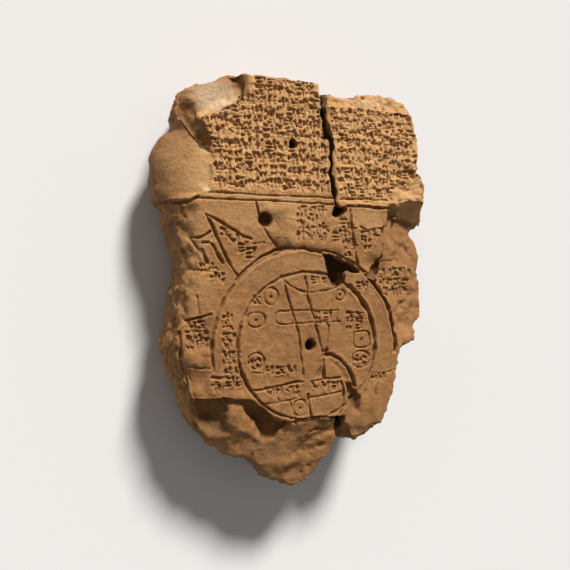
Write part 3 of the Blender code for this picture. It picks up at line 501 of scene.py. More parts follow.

# How far below the face the painted shade begins and is full, in mm: in hollows, joins, round holes and
# strokes, where it is painted shade and dirt
HOLLOW_DARK = (1.4, 3.6)
JOIN_DARK = (0.3, 1.6)
HOLE_DARK = (0.7, 1.8)
STROKE_DARK = (0.15, 0.9)
HOLE_MARGIN = 1.2
# Share of painted shade and dirt in the strokes
STROKE_SHADE_AND_DIRT = 0.2
# How much painted highlight the lips of strokes and grooves get
LIP_HIGHLIGHT = 1.2
# Painted shade on surfaces that do not face up: its strength, and the upward facing over which it fades out
SHADE_ON_SIDES = 0.15
SIDE_SHADE_FACING = (0.2, 0.8)
PATCH_EDGE = (0.3, 1.0)
PAINT_HEIGHT = 0.5

# Soft places of colour: x, y, half width, half height and strength
PALE_PLACES = [(21, 75.8, 10, 2.8, 0.35), (-29.5, 75, 9, 7, 0.95), (-32.6, 46.6, 1.8, 1.2, 0.8)]
# Lighter places: partly lighter clay, partly painted light where a slope faces the key light, as on the
# bulge's right side
LIGHT_AND_LIT_PLACES = [
    (-37, 53, 13, 14, 0.5), (-34, 52, 6, 9, 0.4), (-14, 44.6, 34, 2.6, 0.45), (19, 44.6, 16, 2.6, 0.5),
    (20, 77, 22, 5, 1.0), (20, 39, 10, 7, 0.45), (-14, 39, 36, 9, 0.35), (-36, 26, 9, 20, 0.3),
    (0, 24, 30, 8, 0.12),
]
# Darker places: mostly painted shade on slopes, ledges and hollows turned from the key light, and a few
# stains at the left rim
SHADE_AND_STAIN_PLACES = [
    (-10, -38, 22, 10, 0.55), (-31.5, -24.4, 6.5, 5.0, 0.8), (-15, -24, 6, 6, 0.35),
    (14.3, -17.5, 3.6, 6.4, 0.75), (34, 41, 8, 4, 0.3), (-36, 64.5, 4.5, 5, 0.45),
    (-38, 70.6, 3, 3.4, 0.7), (8.5, 22.5, 7, 6, 0.85), (-46.5, 50, 6, 13, 0.35),
    (22.2, 22.5, 3.2, 3.4, 0.7), (-29.0, -25.5, 6, 4.2, 0.6), (-24.5, -20.4, 4, 5, 0.3),
    (-12.3, -29.5, 8, 4, 0.3), (-33.6, 61.6, 3.6, 4, 0.6), (17, -27, 7, 4.4, 0.5),
    (-40.2, 35.0, 3.0, 5.6, 0.6), (-40.4, 14.6, 2.8, 5.0, 0.6), (-39.0, 40.6, 2.6, 2.2, 0.4),
    (34, 18, 10, 14, 0.25), (-22.4, 77, 2.6, 4.6, 0.5),
]

# Colours of the clay
TAN = (0.275, 0.123, 0.040, 1)
OCHRE = (0.35, 0.164, 0.058, 1)
SAND = (0.43, 0.224, 0.086, 1)
RUST = (0.25, 0.103, 0.032, 1)
# Straw: the lighter clay of the writing, and painted highlight
STRAW = (0.62, 0.345, 0.142, 1)
CHALK = (0.68, 0.49, 0.31, 1)
# Dark brown: paints shade and stains, and dark mottling
UMBER = (0.17, 0.088, 0.034, 1)
# Near black: paints shade in the hollows, and dark specks
SHADE_AND_SOOT = (0.055, 0.027, 0.011, 1)

# Coats over the tan, in order: the attribute, or the scale and detail of the noise, that each one
# follows, the range in which it sets in, its greatest share and its colour
COATS = [
    ((95, 5), 0.35, 0.65, 1.0, OCHRE),
    ((420, 4), 0.45, 0.75, 0.55, SAND),
    ((230, 3), 0.52, 0.72, 0.45, RUST),
    # Lighter clay of the writing, with painted highlight on the lips and lit slopes
    ("light", 0.0, 1.0, 0.9, STRAW),
    ("pale", 0.0, 1.0, 0.85, CHALK),
    # Painted shade on slopes and sides turned from the light, with a few stains
    ("shade_and_stain", 0.0, 1.0, 0.8, UMBER),
    # Painted shade in deep hollows, joins and holes, and painted shade with dirt in the strokes
    ("hollow", 0.0, 1.0, 0.9, SHADE_AND_SOOT),
    ((900, 3), 0.50, 0.68, 0.35, UMBER),
    ((1900, 2), 0.62, 0.72, 0.35, SHADE_AND_SOOT),
]

# The clay's shine, roughness and fine bumps, with the scale and detail of their noises
SHINE = 0.28
ROUGHNESS_NOISE = (600, 3)
ROUGHNESS_RANGE = (0.3, 0.7, 0.72, 0.92)
BUMP_NOISE = (1100, 5, 0.65)
BUMP_STRENGTH = 0.8
BUMP_HEIGHT = 0.0004

# Camera, measured in drawing units from the compass hole: it looks from the reader's left
CAMERA_PLACE = (-91.25, 18.35, 227.61)
CAMERA_TURN = math.radians(-20.0)
CAMERA_LENS = 50.53

# Studio: where the key light comes from, its power, softness in degrees and colour, and the fill
KEY_PLACE = (0.23, 0.78, 0.57)
KEY_POWER = 4.9
KEY_SOFTNESS = 13.0
KEY_COLOUR = (1.0, 0.98, 0.95)
FILL_COLOUR = (1.0, 0.98, 0.96, 1)
FILL_STRENGTH = 0.2
FLOOR_SIZE = 3.0
FLOOR_COLOUR = (0.78, 0.775, 0.77, 1)
FLOOR_ROUGHNESS = 0.9


def spot(x, y, z=0.0):
    """A drawing point in the tablet's own frame, z measured from the bottom in metres."""
    return Vector(((x - MID_X) * UNIT, (y - MID_Y) * UNIT, z))


def crown(x, y):
    """How far the crowned face lies below its highest point, for metres or arrays of metres."""
    top = spot(*CROWN_TOP)
    across = (x - top.x) / (CROWN_SPAN[0] * UNIT)
    along = (y - top.y) / (CROWN_SPAN[1] * UNIT)
    return -FACE_CROWN * np.minimum(CROWN_LIMIT, across * across + along * along)


def inwards(x, y, distance):
    """The place of a drawing point when it is moved towards the middle by the given metres."""
    start = spot(x, y)
    pull = spot(*MIDDLE) - start
    return start + pull.normalized() * distance


def smooth_outline():
    """The outline with rounded stretches between its points."""
    count = len(OUTLINE)
    points = []
    for i in range(count):
        before, here, after, beyond = (np.array(OUTLINE[(i + k) % count]) for k in (-1, 0, 1, 2))
        for step in range(SPLINE_STEPS):
            t = step / SPLINE_STEPS
            bend = (2 * here + (after - before) * t + (2 * before - 5 * here + 4 * after - beyond) * t * t
                    + (3 * here - before - 3 * after + beyond) * t ** 3) / 2
            points.append(tuple(STRAIGHT_SHARE * (here + (after - here) * t) + CURVED_SHARE * bend))
    return points


def section(bm, points):
    """A new face with its corners at the points."""
    made = bmesh.ops.create_circle(bm, cap_ends=True, segments=len(points), radius=1.0)
    face = made["verts"][0].link_faces[0]
    for vert, point in zip(face.verts, points):
        vert.co = point
    return face


def stretch(bm, face, points, keep=False):
    """Extrudes the face to new places for its corners, and leaves a copy behind only to close an end."""
    region = [face] if keep else [face, *face.edges]
    made = bmesh.ops.extrude_face_region(bm, geom=region, use_keep_orig=keep)
    moved = next(item for item in made["geom"] if isinstance(item, bmesh.types.BMFace))
    for vert, point in zip(moved.verts, points):
        vert.co = point
    return moved


def as_object(bm, name, home=None):
    bmesh.ops.recalc_face_normals(bm, faces=bm.faces)
    mesh = bpy.data.meshes.new(name)
    bm.to_mesh(mesh)
    bm.free()
    obj = bpy.data.objects.new(name, mesh)
    (home or bpy.context.scene.collection).objects.link(obj)
    return obj


def slab():
    """The whole slab before anything is cut or pressed, rolled at its edge."""
    outline = smooth_outline()
    middle = THICKNESS / 2
    turns = [math.radians(90 * step / EDGE_STEPS) for step in range(EDGE_STEPS + 1)]

    def ring(roll_of, height_of, turn):
        flat = [inwards(x, y, roll_of(roll) * (1 - math.cos(turn))) for x, y, roll in outline]
        return [Vector((p.x, p.y, height_of(p))) for p in flat]

    bm = bmesh.new()
    cap = section(bm, [inwards(x, y, REST_INSET + REST_ROLL_SHARE * roll * MM) for x, y, roll in outline])
    for index, turn in enumerate(reversed(turns[1:])):
        height = middle - (middle - BACK_CROWN) * math.sin(turn)
        points = ring(
            lambda roll: BACK_ROLL + BACK_ROLL_SHARE * roll * MM, lambda p, height=height: height, turn)
        cap = stretch(bm, cap, points, keep=index == 0)
    for turn in turns:
        rise = math.sin(turn)
        points = ring(
            lambda roll: roll * MM,
            lambda p, rise=rise: middle + (THICKNESS + crown(p.x, p.y) - middle) * rise, turn)
        cap = stretch(bm, cap, points)
    hub = spot(*MIDDLE)
    for step in range(1, FACE_RINGS):
        inner = [point.lerp(hub, step / FACE_RINGS) for point in points]
        cap = stretch(bm, cap, [Vector((p.x, p.y, THICKNESS + crown(p.x, p.y))) for p in inner])
    peak = bmesh.ops.poke(bm, faces=[cap])["verts"][0]
    peak.co.z = THICKNESS + crown(peak.co.x, peak.co.y)
    return as_object(bm, "tablet_clay")


def settle(bm):
    """Lifts a cutter, made round height 0, to the crowned face."""
    for vert in bm.verts:
        vert.co.z += THICKNESS + crown(vert.co.x, vert.co.y)


def cut_lost(name, rim, deepest, home):
    """The cutter of a lost flake or hollow, with a floor that falls from its rim to its deepest point."""
    bm = bmesh.new()
    floor = section(bm, [spot(x, y, -depth * MM) for x, y, depth in rim])
    stretch(bm, floor, [spot(x, y, CUT_RISE) for x, y, depth in rim], keep=True)
    bottom = bmesh.ops.poke(bm, faces=[floor])["verts"][0]
    bottom.co = spot(deepest[0], deepest[1], -deepest[2] * MM)
    settle(bm)
    return as_object(bm, name, home)


def cut_join(name, path, depth, home):
    """The cutter of an open join: a steep channel that narrows to its floor, with chipped sides."""
    draw = random.Random(JOIN_SEED)
    steps = []
    for here, after in zip(path, path[1:]):
        count = max(1, round(math.hypot(after[0] - here[0], after[1] - here[1]) / JOIN_STEP))
        steps += [[a + (b - a) * index / count for a, b in zip(here, after)] for index in range(count)]
    steps.append(path[-1])
    points = [spot(x, y) for x, y, width in steps]
    rise, drop = Vector((0, 0, CUT_RISE)), Vector((0, 0, -depth * MM))
    bm = bmesh.new()
    face = None
    for index, here in enumerate(points):
        along = (points[min(index + 1, len(points) - 1)] - points[max(index - 1, 0)]).normalized()
        side = Vector((-along.y, along.x, 0)) * (steps[index][2] * MM / 2)
        left, right = side * draw.uniform(*JOIN_SIDES), side * draw.uniform(*JOIN_SIDES)
        corners = [
            here + left + rise, here - right + rise,
            here - right * JOIN_FLOOR + drop, here + left * JOIN_FLOOR + drop]
        face = stretch(bm, face, corners, keep=index == 1) if face else section(bm, corners)
    settle(bm)
    return as_object(bm, name, home)


def cut_slab(obj):
    """Takes the lost flakes and open joins out of the slab, and meshes what is left evenly."""
    home = bpy.data.collections.new("cutters")
    bpy.context.scene.collection.children.link(home)
    for name, (rim, deepest) in LOST.items():
        cut_lost(name, rim, deepest, home)
    for index, (path, depth) in enumerate(OPEN_JOINS):
        cut_join(f"open join {index}", path, depth, home)
    carve = obj.modifiers.new("carving", "BOOLEAN")
    carve.operation = "DIFFERENCE"
    carve.operand_type = "COLLECTION"
    carve.collection = home
    carve.solver = "EXACT"
    even = obj.modifiers.new("even mesh", "REMESH")
    even.mode = "VOXEL"
    even.voxel_size = VOXEL
    bake_modifiers(obj)
    for cutter in list(home.objects):
        mesh = cutter.data
        bpy.data.objects.remove(cutter)
        bpy.data.meshes.remove(mesh)
    bpy.data.collections.remove(home)


def wear_down(obj):
    """Rounds the breaks and the sides, and leaves the written face and the open joins sharp."""
    place = read(obj.data, "co")
    x, y = drawing_points(place)
    worn = below_face(place) > WORN_BELOW
    for path, depth in OPEN_JOINS:
        worn &= distance_to(x, y, join_line(path)) > JOIN_MARGIN
    for name in SHARP:
        worn &= within(x, y, rim_line(name), HARD_EDGE) < 0.5
    group = obj.vertex_groups.new(name="worn")
    group.add(np.flatnonzero(worn).tolist(), 1.0, "REPLACE")
    smooth = obj.modifiers.new("worn", "SMOOTH")
    smooth.factor = SMOOTH_FACTOR
    smooth.iterations = SMOOTH_PASSES
    smooth.vertex_group = "worn"
    bake_modifiers(obj)
    obj.vertex_groups.clear()


def bake_modifiers(obj):
    """Gives the object the mesh that its modifiers make, and takes them off."""
    bpy.context.view_layer.update()
    graph = bpy.context.evaluated_depsgraph_get()
    mesh = bpy.data.meshes.new_from_object(obj.evaluated_get(graph))
    old = obj.data
    obj.modifiers.clear()
    obj.data = mesh
    bpy.data.meshes.remove(old)
    mesh.name = obj.name


def read(mesh, field):
    """The places or normals of a mesh's points, as rows of three."""
    values = np.empty(len(mesh.vertices) * 3, np.float32)
    mesh.vertices.foreach_get(field, values)
    return values.reshape(-1, 3).astype(np.float64)


def ramp(low, high, value):
    """0 up to the low value, 1 from the high one, with a soft rise between them."""
    t = np.clip((value - low) / (high - low), 0.0, 1.0)
    return t * t * (3 - 2 * t)


def grain(points, size, seed):
    """Smooth noise from -1 to 1 with lumps of about the given size, in the points' own units."""
    cells = points / size
    base = np.floor(cells).astype(np.int64)
    part = cells - base
    part = part * part * (3 - 2 * part)
    total = np.zeros(len(points))
    for corner in range(8):
        step = np.array([corner & 1, corner >> 1 & 1, corner >> 2 & 1])
        key = (base + step) * np.array(CELL_PRIMES)
        mixed = (key[:, 0] ^ key[:, 1] ^ key[:, 2] ^ seed * SEED_PRIME) & WORD
        for factor, shift in SCRAMBLES:
            mixed = (mixed ^ mixed >> shift) * factor & WORD
        mixed = mixed ^ mixed >> LAST_SHIFT
        weight = np.prod(np.where(step, part, 1 - part), axis=1)
        total += weight * (mixed / (WORD // 2) - 1.0)
    return total


def noise(points, name):
    """One of the noises of the clay, from -1 to 1, each octave with lumps of half the size."""
    size, seed, octaves = NOISES[name]
    total, strength = np.zeros(len(points)), 0.0
    for octave in range(octaves):
        total += grain(points, size / 2 ** octave, seed + octave) / 2 ** octave
        strength += 1 / 2 ** octave
    return total / strength


def crease(points, name):
    """1 along winding creases between the lumps of a noise, 0 away from them."""
    return np.clip(1 - np.abs(noise(points, name)) / CREASE_WIDTH, 0, 1)


def distance_to(x, y, path):
    """How far each point is from a path of drawing points."""
    best = np.full(len(x), np.inf)
    for (x0, y0), (x1, y1) in zip(path, path[1:]):
        dx, dy = x1 - x0, y1 - y0
        t = np.clip(((x - x0) * dx + (y - y0) * dy) / (dx * dx + dy * dy), 0, 1)
        best = np.minimum(best, np.hypot(x - x0 - t * dx, y - y0 - t * dy))
    return best


def inside(x, y, outline):
    """Which points lie inside a closed outline."""
    found = np.zeros(len(x), bool)
    for (x0, y0), (x1, y1) in zip(outline, outline[1:] + outline[:1]):
        if y0 != y1:
            found ^= ((y0 > y) != (y1 > y)) & (x < (x1 - x0) * (y - y0) / (y1 - y0) + x0)
    return found


def within(x, y, outline, soft):
    """1 inside a closed outline, falling to 0 at its edge over the given width."""
    edge = distance_to(x, y, outline + outline[:1])
    return np.where(inside(x, y, outline), ramp(0, soft, edge), 0.0)


def shares(x, y, outlines, soft):
    """1 inside any of the closed outlines, falling to 0 at their edges."""
    share = np.zeros(len(x))
    for outline in outlines:
        share = np.maximum(share, within(x, y, outline, soft))
    return share


def rim_line(name):
    return [(x, y) for x, y, depth in LOST[name][0]]


def join_line(path):
    return [(x, y) for x, y, width in path]


def lost_share(x, y, names):
    return shares(x, y, [rim_line(name) for name in names], LOST_SOFT)


class Pressing:
    """The depth of everything pressed or cut into the face at a set of drawing points, in mm."""

    def __init__(self, x, y, uneven):
        self.x = x
        self.y = y
        self.uneven = uneven
        self.depth = np.zeros(len(x))
        self.lip = np.zeros(len(x))

    def near(self, xs, ys, reach):
        return np.flatnonzero(
            (self.x > min(xs) - reach) & (self.x < max(xs) + reach)
            & (self.y > min(ys) - reach) & (self.y < max(ys) + reach))

    def press(self, pick, depth):
        self.depth[pick] = np.maximum(self.depth[pick], depth)

    def raise_lip(self, pick, height, away):
        """A lip that falls off on both sides of where the distance is 0, given in its own widths."""
        self.lip[pick] = np.maximum(self.lip[pick], height * np.exp(-(away ** 2)))

    def groove(self, pick, away, width, depth):
        uneven = self.uneven[pick]
        wall = np.clip(GROOVE_FLOOR - away / (width * uneven / 2), 0, 1) ** GROOVE_WALL
        self.press(pick, depth * uneven * wall)
        from_lip = (away - width * GROOVE_LIP_AWAY) / (width * GROOVE_LIP_WIDTH)
        self.raise_lip(pick, GROOVE_LIP * depth, from_lip)

    def line(self, path, width, depth):
        pick = self.near([p[0] for p in path], [p[1] for p in path], width * 2)
        self.groove(pick, distance_to(self.x[pick], self.y[pick], path), width, depth)

    def valley(self, path, width, depth):
        pick = self.near([p[0] for p in path], [p[1] for p in path], width)
        away = distance_to(self.x[pick], self.y[pick], path)
        self.press(pick, depth * np.exp(-((away / (width / 2)) ** 2)))

    def hole(self, x, y, radius, depth):
        pick = self.near([x], [y], radius + 1)
        away = np.hypot(self.x[pick] - x, self.y[pick] - y)
        self.press(pick, depth * (1 - ramp(radius * HOLE_WALL[0], radius * HOLE_WALL[1], away)))

    def arc(self, x, y, radius, first, last, width, depth):
        """A part of a ring, between two angles in degrees."""
        pick = self.near([x], [y], radius + width * 2)
        dx, dy = self.x[pick] - x, self.y[pick] - y
        turn = (np.degrees(np.arctan2(dy, dx)) - first) % 360
        away = np.abs(np.hypot(dx, dy) - radius) + FAR * (turn > last - first)
        self.groove(pick, away, width, depth)

    def small_ring(self, x, y, half_wide, half_high, square, width, depth):
        """An oval, squarer as the exponent rises above 2."""
        pick = self.near([x], [y], max(half_wide, half_high) + width * 2)
        u = np.abs(self.x[pick] - x) / half_wide
        v = np.abs(self.y[pick] - y) / half_high
        away = np.abs((u ** square + v ** square) ** (1 / square) - 1) * min(half_wide, half_high)
        self.groove(pick, away, width, depth)

    def wedge(self, x, y, lean, length, half, depth):
        """One reed stroke: a broad head at x, y and a tail that runs out along the lean."""
        pick = self.near([x], [y], length + half)
        dx, dy = self.x[pick] - x, self.y[pick] - y
        along = dx * math.cos(lean) + dy * math.sin(lean)
        across = np.abs(-dx * math.sin(lean) + dy * math.cos(lean))
        run = np.clip(along / length, 0, 1)
        reach = half * (TAIL_WIDTH + (1 - TAIL_WIDTH) * (1 - run) ** TAPER)
        head = np.clip(1 + along / (HEAD_END * half), 0, 1)
        tail = np.clip((length - along) / (TAIL_END * length), 0, 1)
        shape = (TAIL_DEPTH + (1 - TAIL_DEPTH) * (1 - run)) * head * tail
        self.press(pick, depth * shape * np.clip(STROKE_FLOOR - across / reach, 0, 1) ** STROKE_WALL)
        past_ends = np.clip(along - length, 0, FAR) + np.clip(-along - half, 0, FAR)
        edge = np.hypot(across - reach * STROKE_LIP_AWAY, past_ends)
        self.raise_lip(pick, STROKE_LIP * depth, edge / (STROKE_LIP_WIDTH * half))


def sign(draw, pressing, x, y, wide, size):
    """A cluster of strokes in one cell."""
    for across, up, lean, longer in draw.choice(SIGNS):
        pressing.wedge(
            x + wide * across + draw.uniform(-DRIFT_ACROSS, DRIFT_ACROSS),
            y + ROW_RISE * size * up + draw.uniform(-DRIFT_UP, DRIFT_UP),
            math.radians(lean + draw.uniform(-DRIFT_LEAN, DRIFT_LEAN)),
            STROKE_LENGTH * size * longer * draw.uniform(*LENGTH_SPREAD),
            STROKE_HALF * size * draw.uniform(*HALF_SPREAD),
            STROKE_DEPTH * size ** DEPTH_POWER * draw.uniform(*DEPTH_SPREAD))


def write_row(draw, pressing, first_x, last_x, y, slope, size):
    """Signs side by side along a row, which rises by the slope."""
    x = first_x
    while x < last_x - LEAST_ROOM:
        wide = min(draw.uniform(*SIGN_WIDTHS) * (1 + size) / 2, last_x - x)
        middle = y + (x - first_x) * slope + draw.uniform(-DRIFT_UP, DRIFT_UP)
        sign(draw, pressing, x, middle, wide, size)
        x += wide + draw.uniform(0.0, SIGN_GAP)


def write(pressing):
    draw = random.Random(WRITING_SEED)
    for row, (first_x, last_x) in enumerate(LEFT_ROWS):
        height = LEFT_ROW_START + LEFT_ROW_STEP * row - LEFT_ROW_NARROWING * row * row
        write_row(draw, pressing, first_x, last_x, height, 0.0, LEFT_SIZE)
    for row, (first_x, last_x) in enumerate(RIGHT_ROWS):
        height = RIGHT_ROW_START + RIGHT_ROW_STEP * row
        write_row(draw, pressing, first_x, last_x, height, RIGHT_ROW_SLOPE, RIGHT_SIZE)
    for first_x, last_x, height in SHORT_ROWS:
        size = UPPER_SIZE if height > UPPER_ROWS else LOWER_SIZE
        write_row(draw, pressing, first_x, last_x, height, 0.0, size)


def draw_lines(pressing):
    for ring in RINGS:
        pressing.arc(*ring)
    for path, width, depth in RULES:
        pressing.line(path, width * RULE_SHARE, depth)
    for path, width, depth in HAIR_JOINS:
        pressing.line(path, width, depth)
    for x, y, half_wide, half_high, square in DOT_RINGS:
        pressing.small_ring(x, y, half_wide, half_high, square, DOT_RING_WIDTH, DOT_RING_DEPTH)
        pressing.hole(x, y, DOT_RADIUS, DOT_DEPTH)
    for x, y, radius, depth in HOLES:
        pressing.hole(x, y, radius, depth)


def sunk(x, y):
    """Beds, dents and swellings, as a depth in mm."""
    depth = np.zeros(len(x))
    for outline, bed, soft in BEDS:
        depth += bed * within(x, y, outline, soft)
    for cx, cy, wide, high, dent in DENTS:
        depth += dent * np.exp(-(((x - cx) / wide) ** 2 + ((y - cy) / high) ** 2) ** DENT_EDGE)
    return depth


def drawing_points(place):
    return place[:, 0] / UNIT + MID_X, place[:, 1] / UNIT + MID_Y


def below_face(place):
    """How far each point lies under the whole crowned face, in mm."""
    return (THICKNESS + crown(place[:, 0], place[:, 1]) - place[:, 2]) / MM


class Face:
    """What every point of the fine mesh has to know about the face above or around it."""

    def __init__(self, place, facing):
        self.points = points = place / MM
        self.flat = points * np.array([1.0, 1.0, 0.0])
        x, y = drawing_points(place)
        self.x = x + SWAY * noise(points, "sway across") + TREMOR * noise(points, "tremor across")
        self.y = y + SWAY * noise(points, "sway along") + TREMOR * noise(points, "tremor along")
        self.under = below_face(place)
        self.up = ramp(*FACING_UP, facing[:, 2]) * (place[:, 2] > THICKNESS * FACE_HEIGHT)
        bulge_x = x + BULGE_SWAY * noise(points, "bulge edge")
        self.bulge = within(bulge_x, y, BULGE, BULGE_SOFT) * ramp(*BULGE_HEIGHTS, place[:, 2] / THICKNESS)
        self.worn_away = lost_share(x, y, WORN_AWAY)
        self.lumpy = shares(x, y, LUMPY, LUMPY_SOFT)
        self.granular = shares(x, y, GRANULAR, GRANULAR_SOFT)
        self.right = within(x, y, RIGHT_BLOCK, BLOCK_SOFT)
        self.text = np.maximum(self.right, within(x, y, LEFT_BLOCK, BLOCK_SOFT))
        self.uneven = 1 + UNEVEN * noise(self.flat, "pressure")
        self.pressing = Pressing(self.x, self.y, self.uneven)
        draw_lines(self.pressing)
        write(self.pressing)
        self.pressing.depth *= 1 - self.worn_away
        for path, width, depth in VALLEYS:
            self.pressing.valley(path, width, depth)


def press_face(obj):
    """Moves the even mesh's points: rough breaks and worn sides first, then the writing and drawing."""
    mesh = obj.data
    place, facing = read(mesh, "co"), read(mesh, "normal")
    for axis, name in enumerate(("edge across", "edge along")):
        place[:, axis] += EDGE_WANDER * noise(place / MM, name)
    face = Face(place, facing)
    points, flat = face.points, face.flat
    broken = face.up * np.maximum(ramp(*BROKEN_BELOW, face.under), face.worn_away)
    side = 1 - ramp(*FACING_SIDE, np.abs(facing[:, 2]))
    back = ramp(*FACING_DOWN, -facing[:, 2])

    # Breaks and sides, moved along the surface's own direction
    rough = noise(points, "rough")
    chips = noise(points, "chips")
    pits = ramp(0.45, 0.8, noise(points, "pits")) * ramp(-0.1, 0.5, noise(points, "pit groups"))
    layers = noise(points * np.array(LAYER_STRETCH), "layers")
    foot = within(face.x, face.y, FOOT, FOOT_SOFT)
    pale = within(face.x, face.y, PALE_BREAK, PALE_SOFT)
    strength = broken * (BREAK_ROUGH - PALE_CALM * pale)
    creases = BREAK_CREASES * crease(points, "break creases")
    move = strength * (rough + BREAK_CHIPS * chips + creases - BREAK_PITS * pits - BREAK_SINK)
    move += broken * foot * FOOT_ROUGH * noise(points, "foot")
    lumps = LUMP_RISE * noise(points, "lumps") - LUMP_CREASES * crease(points, "lump creases")
    move += face.up * face.lumpy * lumps
    grit = GRIT_RISE * noise(points, "grit") - GRIT_HOLES * ramp(0.2, 0.6, noise(points, "grit holes"))
    move += face.granular * np.maximum(broken, side) * grit
    worn = SIDE_ROUGH * rough + SIDE_CHIPS * chips + SIDE_LAYERS * layers - SIDE_PITS * pits - SIDE_SINK
    move += side * (1 - BULGE_SIDE_CALM * face.bulge) * worn
    place += facing * (move * (1 - BULGE_CALM * face.bulge) * MM)[:, None]

    # The bulge and the written face, moved up and down
    streaks = BULGE_STREAKS * noise(points * np.array(STREAK_STRETCH), "bulge streaks")
    place[:, 2] -= face.bulge * (BULGE_DROP + streaks) * MM
    smooth_face = (1 - broken) * (1 - face.bulge)
    swell = BROAD_SWELL * noise(flat, "broad swell") + FINE_SWELL * noise(flat, "fine swell")
    written = WRITTEN_SWELL * noise(flat, "written swell") - WRITTEN_CREASES * crease(flat, "written creases")
    swell += face.text * written
    worn = WORN_SWELL * noise(flat, "worn swell") - WORN_CREASES * crease(flat, "worn creases")
    swell += face.right * worn
    rise = (swell + face.pressing.lip) * smooth_face - sunk(face.x, face.y) - face.pressing.depth
    place[:, 2] += face.up * (rise - FACE_SINK) * MM

    # The back, with its joins
    hair = Pressing(face.x, face.y, face.uneven)
    for path, width, depth in BACK_JOINS:
        hair.line(path, width, depth)
    creases = BACK_CREASES * crease(points, "back creases") ** 3
    place[:, 2] += back * (hair.depth + BACK_ROUGH * np.clip(rough, 0, 1) + creases) * MM
    put_back(mesh, place)


def put_back(mesh, place):
    """Gives the mesh its new places, none of them outside the solid's box."""
    place = np.clip(place, np.array(NODE_LOW), np.array(NODE_HIGH))
    mesh.vertices.foreach_set("co", place.astype(np.float32).ravel())
    mesh.update()


def thin_out(obj):
    """Fewer faces, above all where nothing is pressed in."""
    place = read(obj.data, "co")
    count = sum(len(face.vertices) - 2 for face in obj.data.polygons)
    if count <= MOST_TRIANGLES:
        return
    carved = Face(place, read(obj.data, "normal"))
    fine = ramp(*FINE_DEPTHS, carved.pressing.depth) * carved.up
    plain = obj.vertex_groups.new(name="plain")
    for step in range(FINE_CLASSES + 1):
        picked = np.flatnonzero(np.round(fine * FINE_CLASSES) == step)
        plain.add(picked.tolist(), 1.0 - FINE_STEP * step, "REPLACE")
    fewer = obj.modifiers.new("fewer faces", "DECIMATE")
    fewer.ratio = MOST_TRIANGLES / count
    fewer.vertex_group = "plain"
    fewer.vertex_group_factor = PLAIN_FACTOR
    bake_modifiers(obj)
    obj.vertex_groups.clear()
    put_back(obj.data, read(obj.data, "co"))


def patches(face, places):
    """The strength of soft places of colour at every point."""
    total = np.zeros(len(face.x))
    for x, y, wide, high, strength in places:
        away = np.hypot((face.x - x) / wide, (face.y - y) / high)
        total += strength * (1 - ramp(*PATCH_EDGE, away))
    return total


def paint_masks(obj):
    """Painted shade in the hollows with dirt in the strokes, where the clay is pale, where it is lighter or
    painted as lit, and where painted shade darkens it, as attributes.
    """
    mesh = obj.data
    place, facing = read(mesh, "co"), read(mesh, "normal")
    face = Face(place, facing)
    # Painted shade: the deepest hollows, open joins and round holes are painted dark where shade falls in
    # them
    deep = ramp(*HOLLOW_DARK, face.under) * (lost_share(face.x, face.y, SHADE_BLACKENED) > 0)
    for path, depth in OPEN_JOINS:
        away = distance_to(face.x, face.y, join_line(path))
        deep = np.maximum(deep, (away < JOIN_MARGIN) * ramp(*JOIN_DARK, face.under))
    for x, y, radius, depth in HOLES:
        away = np.hypot(face.x - x, face.y - y)
        deep = np.maximum(deep, (away < radius * HOLE_MARGIN) * ramp(*HOLE_DARK, face.under))
    # Painted shade and dirt in the strokes
    stroke_shade_and_dirt = STROKE_SHADE_AND_DIRT * ramp(*STROKE_DARK, face.pressing.depth) * face.up
    masks = {
        "hollow": np.maximum(stroke_shade_and_dirt, deep * (place[:, 2] > THICKNESS * PAINT_HEIGHT)),
        "pale": patches(face, PALE_PLACES) * face.up,
        # Lighter clay in the writing, painted highlight on the lips, and painted light on lit slopes
        "light": (face.text + LIP_HIGHLIGHT * face.pressing.lip + patches(face, LIGHT_AND_LIT_PLACES)) * face.up,
        # Painted shade on slopes turned from the light and on the sides, with a few stains
        "shade_and_stain": patches(face, SHADE_AND_STAIN_PLACES) + SHADE_ON_SIDES * (1 - ramp(*SIDE_SHADE_FACING, facing[:, 2])),
    }
    for name, values in masks.items():
        layer = mesh.attributes.new(name, "FLOAT", "POINT")
        layer.data.foreach_set("value", np.clip(values, 0, 1).astype(np.float32))


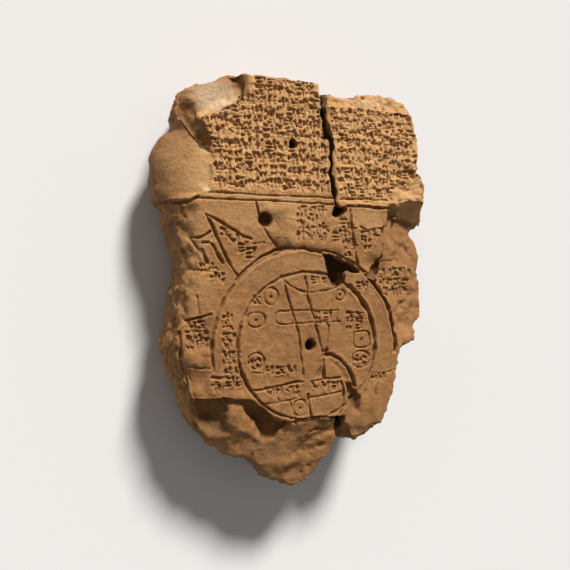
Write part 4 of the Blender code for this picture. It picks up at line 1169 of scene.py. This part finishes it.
def clay_material():
    """Fired clay: mottled tan, pale where a break is fresh, with painted shade in the hollows and on slopes
    turned from the light, and painted highlight on lips and lit parts.
    """
    mat = bpy.data.materials.new("fired_clay")
    mat.use_nodes = True
    tree = mat.node_tree
    shader = tree.nodes["Principled BSDF"]
    shader.inputs["Metallic"].default_value = 0.0
    shader.inputs["Specular IOR Level"].default_value = SHINE
    coords = tree.nodes.new("ShaderNodeTexCoord")

    def mottle(scale, detail, roughness=0.55):
        node = tree.nodes.new("ShaderNodeTexNoise")
        node.inputs["Scale"].default_value = scale
        node.inputs["Detail"].default_value = detail
        node.inputs["Roughness"].default_value = roughness
        tree.links.new(coords.outputs["Object"], node.inputs["Vector"])
        return node.outputs["Fac"]

    def mask(name):
        node = tree.nodes.new("ShaderNodeAttribute")
        node.attribute_name = name
        return node.outputs["Fac"]

    def curve(value, low, high, bottom, top):
        node = tree.nodes.new("ShaderNodeMapRange")
        for slot, number in zip(("From Min", "From Max", "To Min", "To Max"), (low, high, bottom, top)):
            node.inputs[slot].default_value = number
        tree.links.new(value, node.inputs["Value"])
        return node.outputs["Result"]

    def mix(share, first, second):
        node = tree.nodes.new("ShaderNodeMix")
        node.data_type = "RGBA"
        factor = next(s for s in node.inputs if s.type == "VALUE")
        colours = [s for s in node.inputs if s.type == "RGBA"]
        for socket, value in ((factor, share), (colours[0], first), (colours[1], second)):
            if isinstance(value, bpy.types.NodeSocket):
                tree.links.new(value, socket)
            else:
                socket.default_value = value
        return next(s for s in node.outputs if s.type == "RGBA")

    colour = TAN
    for follows, low, high, most, coat in COATS:
        value = mask(follows) if isinstance(follows, str) else mottle(*follows)
        colour = mix(curve(value, low, high, 0.0, most), colour, coat)
    tree.links.new(colour, shader.inputs["Base Color"])
    tree.links.new(curve(mottle(*ROUGHNESS_NOISE), *ROUGHNESS_RANGE), shader.inputs["Roughness"])
    bump = tree.nodes.new("ShaderNodeBump")
    bump.inputs["Strength"].default_value = BUMP_STRENGTH
    bump.inputs["Distance"].default_value = BUMP_HEIGHT
    tree.links.new(mottle(*BUMP_NOISE), bump.inputs["Height"])
    tree.links.new(bump.outputs["Normal"], shader.inputs["Normal"])
    return mat


def make_tablet():
    tablet = slab()
    cut_slab(tablet)
    wear_down(tablet)
    press_face(tablet)
    thin_out(tablet)
    paint_masks(tablet)
    tablet.data.materials.clear()
    tablet.data.materials.append(clay_material())
    tablet.data.shade_smooth()
    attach(tablet, "root")
    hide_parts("tablet")


def make_camera():
    hole = spot(0, 0)
    hole.z = THICKNESS + crown(hole.x, hole.y)
    camera = bpy.data.objects.new("camera", bpy.data.cameras.new("camera"))
    bpy.context.scene.collection.objects.link(camera)
    camera.location = hole + Vector(CAMERA_PLACE) * UNIT
    camera.rotation_euler = (0.0, CAMERA_TURN, 0.0)
    camera.data.lens = CAMERA_LENS
    camera.data.clip_start = 0.01
    bpy.context.scene.camera = camera


def make_floor():
    bm = bmesh.new()
    bmesh.ops.create_grid(bm, x_segments=1, y_segments=1, size=FLOOR_SIZE)
    floor = as_object(bm, "floor")
    mat = bpy.data.materials.new("pale floor")
    mat.use_nodes = True
    shader = mat.node_tree.nodes["Principled BSDF"]
    shader.inputs["Base Color"].default_value = FLOOR_COLOUR
    shader.inputs["Roughness"].default_value = FLOOR_ROUGHNESS
    floor.data.materials.append(mat)


def make_lights():
    """A soft key light that looks at the tablet from behind its top, and an even fill."""
    key = bpy.data.lights.new("key", "SUN")
    key.energy = KEY_POWER
    key.color = KEY_COLOUR
    key.angle = math.radians(KEY_SOFTNESS)
    lamp = bpy.data.objects.new("key", key)
    lamp.location = KEY_PLACE
    lamp.rotation_euler = (-Vector(KEY_PLACE)).to_track_quat("-Z", "Y").to_euler()
    bpy.context.scene.collection.objects.link(lamp)
    world = bpy.data.worlds.new("studio")
    bpy.context.scene.world = world
    world.use_nodes = True
    fill = world.node_tree.nodes["Background"]
    fill.inputs["Color"].default_value = FILL_COLOUR
    fill.inputs["Strength"].default_value = FILL_STRENGTH
    bpy.context.scene.view_settings.view_transform = "Standard"


make_tablet()
make_camera()
make_floor()
make_lights()
